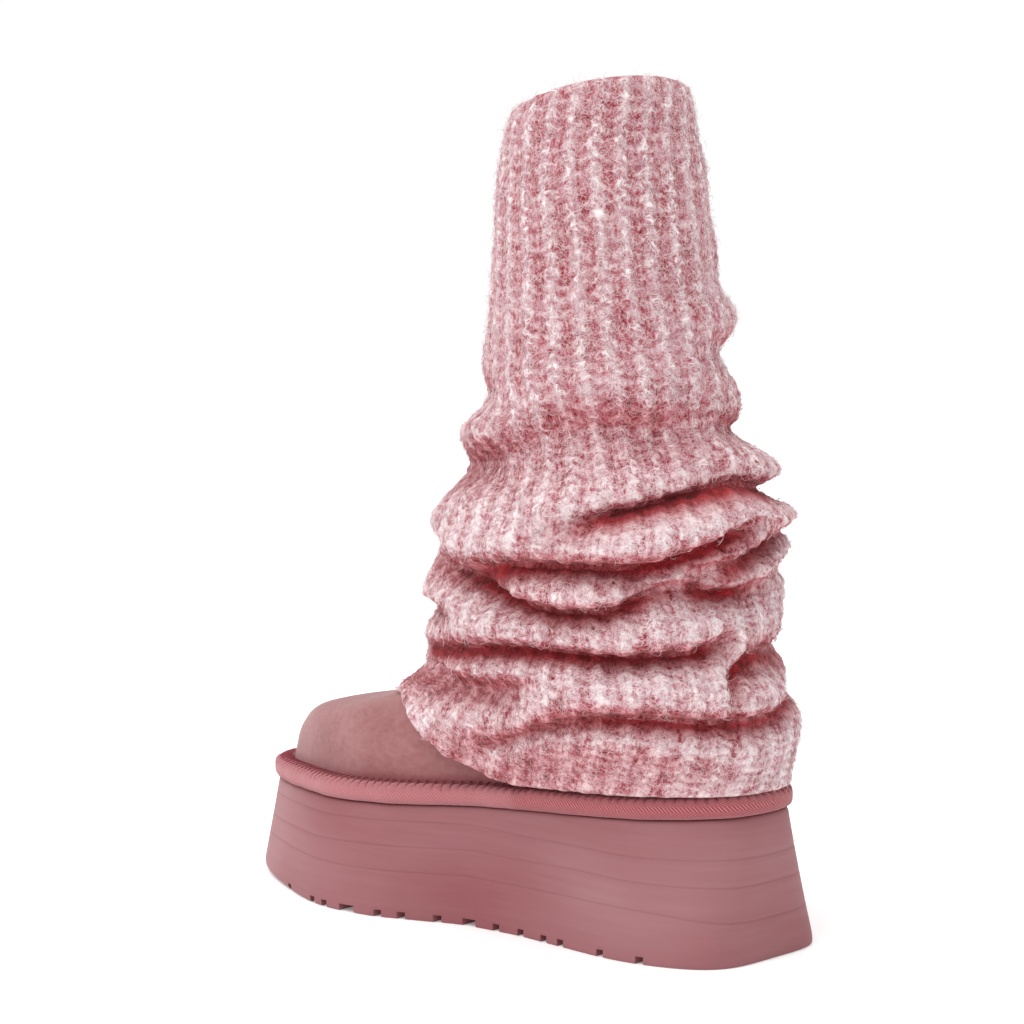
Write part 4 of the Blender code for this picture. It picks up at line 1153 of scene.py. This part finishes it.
def fold_shift(height, turn):
    """Inward and downward shift of the folds at a height and a turn, and how deep in a crease each point
    lies. Each crease follows its own line: a trough that opens gently below and is steep above, and over it
    a roll that stands out and droops over the trough, fading at both ends."""
    inward = np.zeros_like(height)
    down = np.zeros_like(height)
    deep = np.zeros_like(height)
    for half, points in CREASES:
        angle, line, depth, sag = (np.array([point[i] for point in points], float) for i in range(4))
        for lap in (-360.0, 0.0, 360.0):
            place = np.degrees(turn) + lap
            inside = (place > angle[0]) & (place < angle[-1])
            if not inside.any():
                continue
            size = curve(angle, depth, place) * inside
            droop = curve(angle, sag, place)[None, :]
            up = (height - curve(angle, line, place)[None, :] * MM) / (half * MM)
            trough = hump(up / np.where(up > 0.0, 0.80, 1.35))
            shape = trough - 0.24 * hump((up - 1.9) / 1.0) - 0.12 * hump((up + 2.9) / 1.3)
            inward += size[None, :] * MM * shape
            down += droop * MM * np.clip(size / 9.0, 0.0, 1.3)[None, :] * 1.2 * hump((up - 1.05) / 0.95)
            # dark marks where the painted crease shade falls: just below each line, where its lip droops over
            # it
            dark = hump((up + 0.35) / np.where(up > -0.35, 0.85, 0.95)) * smooth_step(droop / 2.0)
            deep = np.maximum(deep, np.clip(size / 9.0, 0.0, 1.0)[None, :] * dark)
    return inward, down, deep


def room_over_upper(points):
    """Distance from each point to the nearest of an even grid of points on the upper."""
    level = np.linspace(0.0, COLLAR_LEVEL, 57)
    grid = upper_surface(level[:, None], turns(ROOM_COLUMNS)[None, :]).reshape(-1, 3)
    parts = np.array_split(points.reshape(-1, 3), 20)
    square = [((part[:, None] - grid[None]) ** 2).sum(axis=2).min(axis=1) for part in parts]
    return np.sqrt(np.concatenate(square)).reshape(points.shape[:-1])


def spread(coarse, rows, cols):
    """Values of a coarse grid read between its points; rows and cols are places counted in its steps,
    and its columns close round the boot."""
    r = np.clip(np.floor(rows).astype(int), 0, coarse.shape[0] - 2)
    c = np.floor(cols).astype(int)
    fr = (rows - r)[:, None]
    fc = (cols - c)[None, :]
    c0 = c % coarse.shape[1]
    c1 = (c + 1) % coarse.shape[1]
    low = coarse[r][:, c0] * (1.0 - fc) + coarse[r][:, c1] * fc
    high = coarse[r + 1][:, c0] * (1.0 - fc) + coarse[r + 1][:, c1] * fc
    return low * (1.0 - fr) + high * fr


def slouched(level, turn):
    """Leg warmer with its folds, before the stitches: the base moved towards its middle line and down,
    no deeper than the boot inside leaves room for, with small ripples between the folds. Returns the grid,
    how deep in a crease each point lies and how far in or out it has moved."""
    rough_level = np.linspace(0.0, 1.0, ROOM_LEVELS)
    room = room_over_upper(knit_base(rough_level[:, None], turns(ROOM_COLUMNS)[None, :]))
    round_boot = (turn % (2.0 * math.pi)) / (2.0 * math.pi)
    room = spread(room, level * (ROOM_LEVELS - 1.0), round_boot * ROOM_COLUMNS)
    base = knit_base(level[:, None], turn[None, :])
    inward, down, deep = fold_shift(base[..., 2], turn)
    slack = smooth_step((level[:, None] - 0.05) / 0.10)
    slack = slack * (1.0 - 0.75 * smooth_step((level[:, None] - 0.50) / 0.14))
    inward += slack * wobble(base, 34.0 * MM, 41, (1.9, 1.9, 0.75)) * 0.9 * MM
    inward += slack * wobble(base, 17.0 * MM, 42, (1.6, 1.6, 0.8)) * 0.45 * MM
    room = np.maximum(room - KNIT_WALL - KNIT_ROOM, 0.0)
    held = np.minimum(inward, room)
    middle = base.mean(axis=1, keepdims=True)
    away = base - middle
    away[..., 2] = 0.0
    moved = base - unit(away) * held[..., None]
    moved[..., 2] -= down
    return moved, deep, np.clip(inward / (8.0 * MM), -0.5, 1.0)


def knit_levels(course, samples):
    """Levels of the rows, evenly spaced along the cloth: the mean way over the side that faces the camera,
    cut into courses and each course into samples. Returns the levels and the course of each row."""
    level = np.linspace(0.0, 1.0, 361)
    turn = np.radians(np.linspace(-20.0, 115.0, 28))
    grid, _, _ = slouched(level, turn)
    step = np.linalg.norm(np.diff(grid, axis=0), axis=-1).mean(axis=1)
    way = np.concatenate([[0.0], np.cumsum(step)])
    courses = int(round(way[-1] / course))
    rows = courses * samples + 1
    even = np.interp(np.linspace(0.0, way[-1], rows), way, level)
    return even, np.arange(rows) / samples, way[-1]


def yarn_relief(across, course, sizes, strength):
    """Relief of the rib knit. Across counts ribs, course counts rows. A rib rises as a cosine over half of
    each period; every yarn runs as a peak over the rib and a shallow bow through the furrow beside it, so
    the yarn number is q = course + w, w = 0.38|x| on the rib and 0.5 - 0.12 x^2 in the furrow, and the
    height over it is a power of 0.5 + 0.5 cos(2 pi q). Returns relief, yarn number and ridge (0 to 1)."""
    part = across - np.floor(across)
    on_rib = np.abs(part - 0.25) <= 0.25
    x_rib = np.abs((part - 0.25) / 0.25)
    x_furrow = (part - 0.75) / 0.25
    shift = np.where(on_rib, 0.38 * x_rib, 0.5 - 0.12 * x_furrow ** 2)
    yarn = course + shift
    crest = (0.5 + 0.5 * np.cos(2.0 * math.pi * yarn)) ** 0.8
    rib = (0.5 + 0.5 * np.cos(2.0 * math.pi * (part - 0.25))) ** 2.2
    split = hump(x_rib / 0.22) * on_rib
    number = np.floor(yarn + 0.5)
    lump = np.sin(number * 12.9898 + np.floor(across * 2.0) * 78.233) * 43758.5453
    lump = lump - np.floor(lump)
    height = sizes.rib_relief * rib ** 0.7 * strength
    height += sizes.yarn_relief * crest * (0.72 + 0.5 * lump) * (1.0 - 0.30 * split) * (0.55 + 0.45 * rib)
    ridge = np.clip(0.58 * rib + 0.50 * crest * (0.75 + 0.25 * rib) - 0.10 * split, 0.0, 1.0)
    return height, yarn, ridge


def rounded_edge(way):
    """How far a rounded edge has sunk at a way in from it, 1 at the edge and 0 from 3 mm on: a quarter
    circle, 1 - sqrt(1 - (1 - u)^2)."""
    return 1.0 - np.sqrt(np.clip(1.0 - (1.0 - np.clip(way / (3.0 * MM), 0.0, 1.0)) ** 2, 0.0, 1.0))


class KnitSheet:
    """The whole outer face of the leg warmer as arrays: points, normals, crease, ridge and yarn places."""

    def __init__(self, sizes):
        """Rows run from hem to rim; columns start at the seam, opposite the side that faces the camera."""
        self.count = KNIT_COLUMNS
        self.turn = turns(self.count, FACING_TURN - math.pi)
        self.level, self.course, self.way = knit_levels(sizes.course, KNIT_SAMPLES)
        base, deep, hollow = slouched(self.level, self.turn)
        rows = len(self.level)
        closed = np.concatenate([base, base[:, :1]], axis=1)
        plain = knit_base(self.level[:, None], np.append(self.turn, self.turn[0] + 2.0 * math.pi)[None, :])
        step = np.linalg.norm(np.diff(plain, axis=1), axis=-1)
        way = np.concatenate([np.zeros((rows, 1)), np.cumsum(step, axis=1)], axis=1)
        half = self.count // 2
        way -= way[:, half:half + 1]
        height = plain[..., 2].mean(axis=1) / MM
        width = from_table(RIB_WIDTHS, 1, np.clip(height, 60.0, 345.0)) * MM
        sway = 0.10 * np.sin(self.course / 5.3) + 0.06 * np.sin(self.course / 2.1 + 1.0)
        across = way / width[:, None] + sway[:, None] + 0.06 * wobble(closed, 60.0 * MM, 51)
        course = self.course[:, None] + 0.22 * wobble(closed, 40.0 * MM, 52)
        course = course + 0.06 * wobble(closed, 12.0 * MM, 53)
        lively = 0.70 + 0.30 * smooth_step((self.level[:, None] - 0.46) / 0.12)
        relief, yarn, ridge = yarn_relief(across, course, sizes, lively)
        column = np.arange(self.count + 1)
        edge = hump(np.minimum(column, self.count - column) / 3.2)[None, :]
        relief = relief * (1.0 - 0.9 * edge)
        self.across = across
        self.yarn = yarn
        normal = grid_normals(base)
        from_hem = self.level_way()
        curl = rounded_edge(from_hem)
        thick = hem_thickness(self.turn) - KNIT_LIFT - 0.4 * MM
        rim_curl = rounded_edge(self.way - from_hem)
        sunk = curl[:, None] * thick[None, :] + rim_curl[:, None] * 0.5 * KNIT_WALL
        closing = (1.0 - curl)[:, None] * (1.0 - 0.75 * rim_curl)[:, None]
        lift = (relief[:, :-1] - 0.8 * MM) * closing * (1.0 - 0.35 * deep) - sunk
        self.points = base + normal * lift[..., None]
        settle = 0.9 * MM * (1.0 - smooth_step(from_hem / (7.0 * MM))) * (1.0 - curl ** 2)
        self.points[..., 2] -= settle[:, None]
        self.base = base
        self.base_normal = normal
        self.normal = grid_normals(self.points)
        self.crease = deep
        # under: how much the cloth faces down, which the knit's colour turns into painted shade under the
        # rolls
        self.under = np.clip(-1.25 * normal[..., 2] - 0.06, 0.0, 1.0)
        self.hollow = hollow
        self.ridge = 0.5 + (ridge[:, :-1] - 0.5) * lively
        self.rows = rows

    def level_way(self):
        """Way along the cloth from the hem to each row."""
        return np.linspace(0.0, self.way, len(self.level))

    def inner(self, rows):
        """Inner face of the wall behind some rows: the folded face one wall further in."""
        deep = self.crease[rows][..., None]
        wall = self.base[rows] - self.base_normal[rows] * (KNIT_WALL * (1.0 - 0.2 * deep))
        hem = hem_surface(np.zeros(self.count), self.turn, np.full(self.count, KNIT_LIFT))
        wall[rows == 0] = hem
        return wall


def knit_part(sheet, name, first, last, material):
    """One length of the leg warmer as a closed wall: outer rows going up, then inner rows going down."""
    outer_rows = np.arange(first, last + 1)
    inner_rows = np.unique(np.append(np.arange(first, last, 8), last))[::-1]
    grid = np.concatenate([sheet.points[outer_rows], sheet.inner(inner_rows)])
    rows = len(grid)
    faces = ring_quads(rows, sheet.count, closed=True)
    order = np.concatenate([outer_rows, inner_rows])
    after = np.roll(order, -1)
    col = np.arange(sheet.count)
    corners = ((order, col), (after, col), (after, col + 1), (order, col + 1))
    places = [np.ix_(r, c) for r, c in corners]
    uv = [np.stack([sheet.across[place], sheet.yarn[place]], axis=-1) for place in places]
    uv = np.stack(uv, axis=-2).reshape(-1, 2)
    # Painted shade on down-facing cloth and in the hollows of the folds; where a roll stands out it goes
    # below 0, a painted highlight
    shade = np.clip(0.70 * sheet.under + 0.22 * sheet.hollow, -0.3, 1.0)
    # Painted fill light on the folded lower part of the knit, which lightens its colour
    pale = np.repeat(1.0 - smooth_step((sheet.level[order] - 0.44) / 0.10), sheet.count)
    fields = {"crease": sheet.crease[order], "ridge": sheet.ridge[order], "shade": shade[order], "pale": pale}
    piece = make_piece(name, grid.reshape(-1, 3), faces, material, fields, uv)
    count = len(outer_rows)
    inner_normal = -sheet.base_normal[inner_rows]
    normal = np.concatenate([sheet.normal[outer_rows], inner_normal])
    row = np.arange(rows)[:, None]
    nxt = np.roll(np.arange(rows), -1)[:, None]
    column = col[None, :]
    beside = np.roll(col, -1)[None, :]
    corner = [normal[row, column], normal[nxt, column], normal[nxt, beside], normal[row, beside]]
    corner = np.stack(np.broadcast_arrays(*corner), axis=-2)
    flat = np.zeros((rows, sheet.count, 4), bool)
    flat[count - 1] = last < sheet.rows - 1
    flat[rows - 1] = True
    corner[flat] = 0.0
    piece.data.normals_split_custom_set(corner.reshape(-1, 3).tolist())
    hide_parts("knit_legwarmer")
    return piece


class BootLegwarmer(bpy.types.Operator):
    """Build the slouched rib-knit leg warmer in three lengths, stitch by stitch."""
    bl_idname = "boot.legwarmer"
    bl_label = "Leg warmer"

    def execute(self, context):
        """Work out the whole sheet once and cut it into lengths."""
        sheet = KnitSheet(context.scene.boot_sizes)
        material = knit_material(context.scene.boot_colours)
        cuts = np.linspace(0, sheet.rows - 1, 4).astype(int)
        names = ("knit_hem_length", "knit_fold_length", "knit_cuff_length")
        for name, first, last in zip(names, cuts[:-1], cuts[1:]):
            knit_part(sheet, name, first, last, material)
        return {"FINISHED"}


def fibre_strands(root, normal, side, rng, length, radius, lift):
    """Loose fibres: each a closed three-sided spike along a curl of three straight lengths, lying along the
    cloth in a random direction and lifting off it. Returns points and triangles."""
    count = len(root)
    angle = rng.uniform(0.0, 2.0 * math.pi, count)
    bend = rng.uniform(0.5, 1.5, count) * np.where(rng.random(count) < 0.5, -1.0, 1.0)
    up = np.cross(side, normal)
    long = (length * rng.uniform(0.45, 1.5, count) / 3.0)[:, None]
    place = root - normal * 0.25 * MM
    path = [place]
    ways = []
    for index, rise in enumerate((1.0, 0.25, -0.45)):
        turn = (angle + bend * index)[:, None]
        way = np.cos(turn) * side + np.sin(turn) * up
        place = place + way * long + normal * lift[:, None] * rise
        path.append(place)
        ways.append(way)
    points = []
    for middle, way, size in zip(path[:3], ways, (0.8, 1.0, 0.9)):
        beside = np.cross(normal, way)
        for a in (0.0, 2.0 * math.pi / 3.0, 4.0 * math.pi / 3.0):
            points.append(middle + (normal * math.cos(a) + beside * math.sin(a)) * radius * size)
    points.append(path[3])
    points = np.stack(points, axis=1)
    ring = np.array([(0, 3, 4), (0, 4, 1), (1, 4, 5), (1, 5, 2), (2, 5, 3), (2, 3, 0)])
    spike = np.concatenate([[(0, 1, 2)], ring, ring + 3, [(6, 9, 7), (7, 9, 8), (8, 9, 6)]])
    faces = (spike[None] + 10 * np.arange(count)[:, None, None]).reshape(-1, 3)
    return points.reshape(-1, 3), faces


class BootFuzz(bpy.types.Operator):
    """Scatter the loose wool fibres over the leg warmer, fewer in the creases."""
    bl_idname = "boot.fuzz"
    bl_label = "Wool fuzz"

    def execute(self, context):
        """Pick roots with a fixed seed and build the fibres as three joined meshes."""
        sizes = context.scene.boot_sizes
        sheet = KnitSheet(sizes)
        material = fibre_material(context.scene.boot_colours)
        rng = np.random.default_rng(7)
        side = np.roll(sheet.points, -1, axis=1) - sheet.points
        size = np.linalg.norm(side, axis=-1)
        side /= np.maximum(size[..., None], 1e-9)
        bare = 0.92 * np.clip(1.6 * sheet.crease, 0.0, 1.0)
        weight = size * (1.0 - bare) * (1.0 - 0.5 * sheet.under) * (0.35 + sheet.ridge)
        weight = (weight * smooth_step((sheet.level_way() - 3.0 * MM) / (5.0 * MM))[:, None]).ravel()
        weight /= weight.sum()
        for name in ("knit_fuzz_one", "knit_fuzz_two", "knit_fuzz_three"):
            pick = rng.choice(len(weight), sizes.fibre_count, p=weight)
            root = sheet.points.reshape(-1, 3)[pick]
            normal = sheet.base_normal.reshape(-1, 3)[pick]
            along = side.reshape(-1, 3)[pick]
            root = root + along * (rng.uniform(-0.5, 0.5, len(pick)) * MM)[:, None]
            stands = rng.random(len(pick)) < 0.12
            lift = np.where(stands, rng.uniform(0.9, 1.8, len(pick)), rng.uniform(0.15, 0.7, len(pick)))
            points, faces = fibre_strands(
                root, normal, along, rng, sizes.fibre_length, sizes.fibre_thickness, lift * MM
            )
            # Painted shade: fibres in the creases, under the rolls and in the hollows are tinted towards
            # crimson
            shade = 1.3 * sheet.crease + 0.55 * sheet.under + 0.35 * sheet.hollow
            shade = np.clip(shade, 0.0, 1.0).ravel()[pick]
            tint_and_shade = np.repeat(np.clip(rng.random(len(pick)) * 0.85 + 0.9 * shade, 0.0, 1.0), 10)
            fuzz = make_piece(name, points, faces, material, {"tint_and_shade": tint_and_shade})
            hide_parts("knit_legwarmer")
        return {"FINISHED"}


# ---- stage


def soft_sun(name, aim, strength, spread):
    """Distant light that shines along a direction; its spread in degrees softens the shadows."""
    light = bpy.data.lights.new(name, "SUN")
    light.energy = strength
    light.angle = math.radians(spread)
    lamp = bpy.data.objects.new(name, light)
    lamp.rotation_euler = Vector(aim).to_track_quat("-Z", "Y").to_euler()
    bpy.context.scene.collection.objects.link(lamp)


class BootStage(bpy.types.Operator):
    """Set the pale floor, the soft lights and the camera."""
    bl_idname = "boot.stage"
    bl_label = "Stage"

    def execute(self, context):
        """Floor, lights, background and the camera at the picture's angle."""
        scene = context.scene
        mesh = bpy.data.meshes.new("floor")
        half = FLOOR_HALF
        corners = [(-half, -half, 0), (half, -half, 0), (half, half, 0), (-half, half, 0)]
        mesh.from_pydata(corners, [], [(0, 1, 2, 3)])
        floor = bpy.data.objects.new("floor", mesh)
        floor.location.z = -FLOOR_DROP
        scene.collection.objects.link(floor)
        finish = plain_material("White floor", (0.95, 0.95, 0.95), 0.85)
        shader = finish.node_tree.nodes["Principled BSDF"]
        shader.inputs["Emission Color"].default_value = (1.0, 1.0, 1.0, 1.0)
        shader.inputs["Emission Strength"].default_value = 0.16
        mesh.materials.append(finish)
        world = bpy.data.worlds.new("studio")
        scene.world = world
        world.use_nodes = True
        tree = world.node_tree
        way = add_node(tree, "ShaderNodeTexCoord").outputs["Generated"]
        height = add_node(tree, "ShaderNodeSeparateXYZ", links={"Vector": way}).outputs["Z"]
        shade = ramp(tree, height, ((0.14, 1.0), (0.30, 0.55)))
        tree.links.new(shade, tree.nodes["Background"].inputs["Color"])
        tree.nodes["Background"].inputs["Strength"].default_value = 1.02
        angle = math.radians(CAMERA_FROM)
        tilt = math.radians(CAMERA_DOWN)
        flat = math.cos(tilt)
        forward = Vector((-math.sin(angle) * flat, math.cos(angle) * flat, -math.sin(tilt)))
        right = Vector((math.cos(angle), math.sin(angle), 0.0))
        up = right.cross(forward)
        level = Vector((forward.x, forward.y, 0.0)).normalized()
        drop = Vector((0.0, 0.0, -1.0))
        soft_sun("key", drop * 1.3 + level * 0.6 + right * 0.8, 1.45, 50.0)
        soft_sun("top", drop * 1.0 - level * 0.25, 1.55, 70.0)
        camera = bpy.data.cameras.new("camera")
        camera.lens = CAMERA_LENS
        camera.sensor_width = CAMERA_SENSOR
        seat = bpy.data.objects.new("camera", camera)
        turned = Matrix((right, up, -forward)).transposed().to_4x4()
        seat.matrix_world = Matrix.Translation(CAMERA_PLACE) @ turned
        scene.collection.objects.link(seat)
        scene.camera = seat
        scene.view_settings.view_transform = "Standard"
        return {"FINISHED"}


class BootPanel(bpy.types.Panel):
    """Buttons and sizes in the sidebar."""
    bl_idname = "VIEW3D_PT_boot"
    bl_label = "Boot"
    bl_space_type = "VIEW_3D"
    bl_region_type = "UI"
    bl_category = "Boot"

    def draw(self, context):
        """List the operators, then the sizes and the colours."""
        for operator in OPERATORS:
            self.layout.operator(operator.bl_idname)
        for group in (context.scene.boot_sizes, context.scene.boot_colours):
            column = self.layout.column()
            for key in group.__annotations__:
                column.prop(group, key)


OPERATORS = (BootSole, BootTape, BootUpper, BootInsole, BootLegwarmer, BootFuzz, BootStage)
CLASSES = (BootSizes, BootColours, *OPERATORS, BootPanel)


def register():
    """Add the classes and hang the sizes and colours on the scene."""
    for item in CLASSES:
        bpy.utils.register_class(item)
    bpy.types.Scene.boot_sizes = PointerProperty(type=BootSizes)
    bpy.types.Scene.boot_colours = PointerProperty(type=BootColours)


def unregister():
    """Take the classes away again."""
    del bpy.types.Scene.boot_colours
    del bpy.types.Scene.boot_sizes
    for item in reversed(CLASSES):
        bpy.utils.unregister_class(item)


def main():
    """Build every piece and the stage."""
    register()
    bpy.ops.boot.platform_sole()
    bpy.ops.boot.welt_tape()
    bpy.ops.boot.suede_upper()
    bpy.ops.boot.insole()
    bpy.ops.boot.legwarmer()
    bpy.ops.boot.fuzz()
    bpy.ops.boot.stage()


if __name__ == "__main__":
    main()
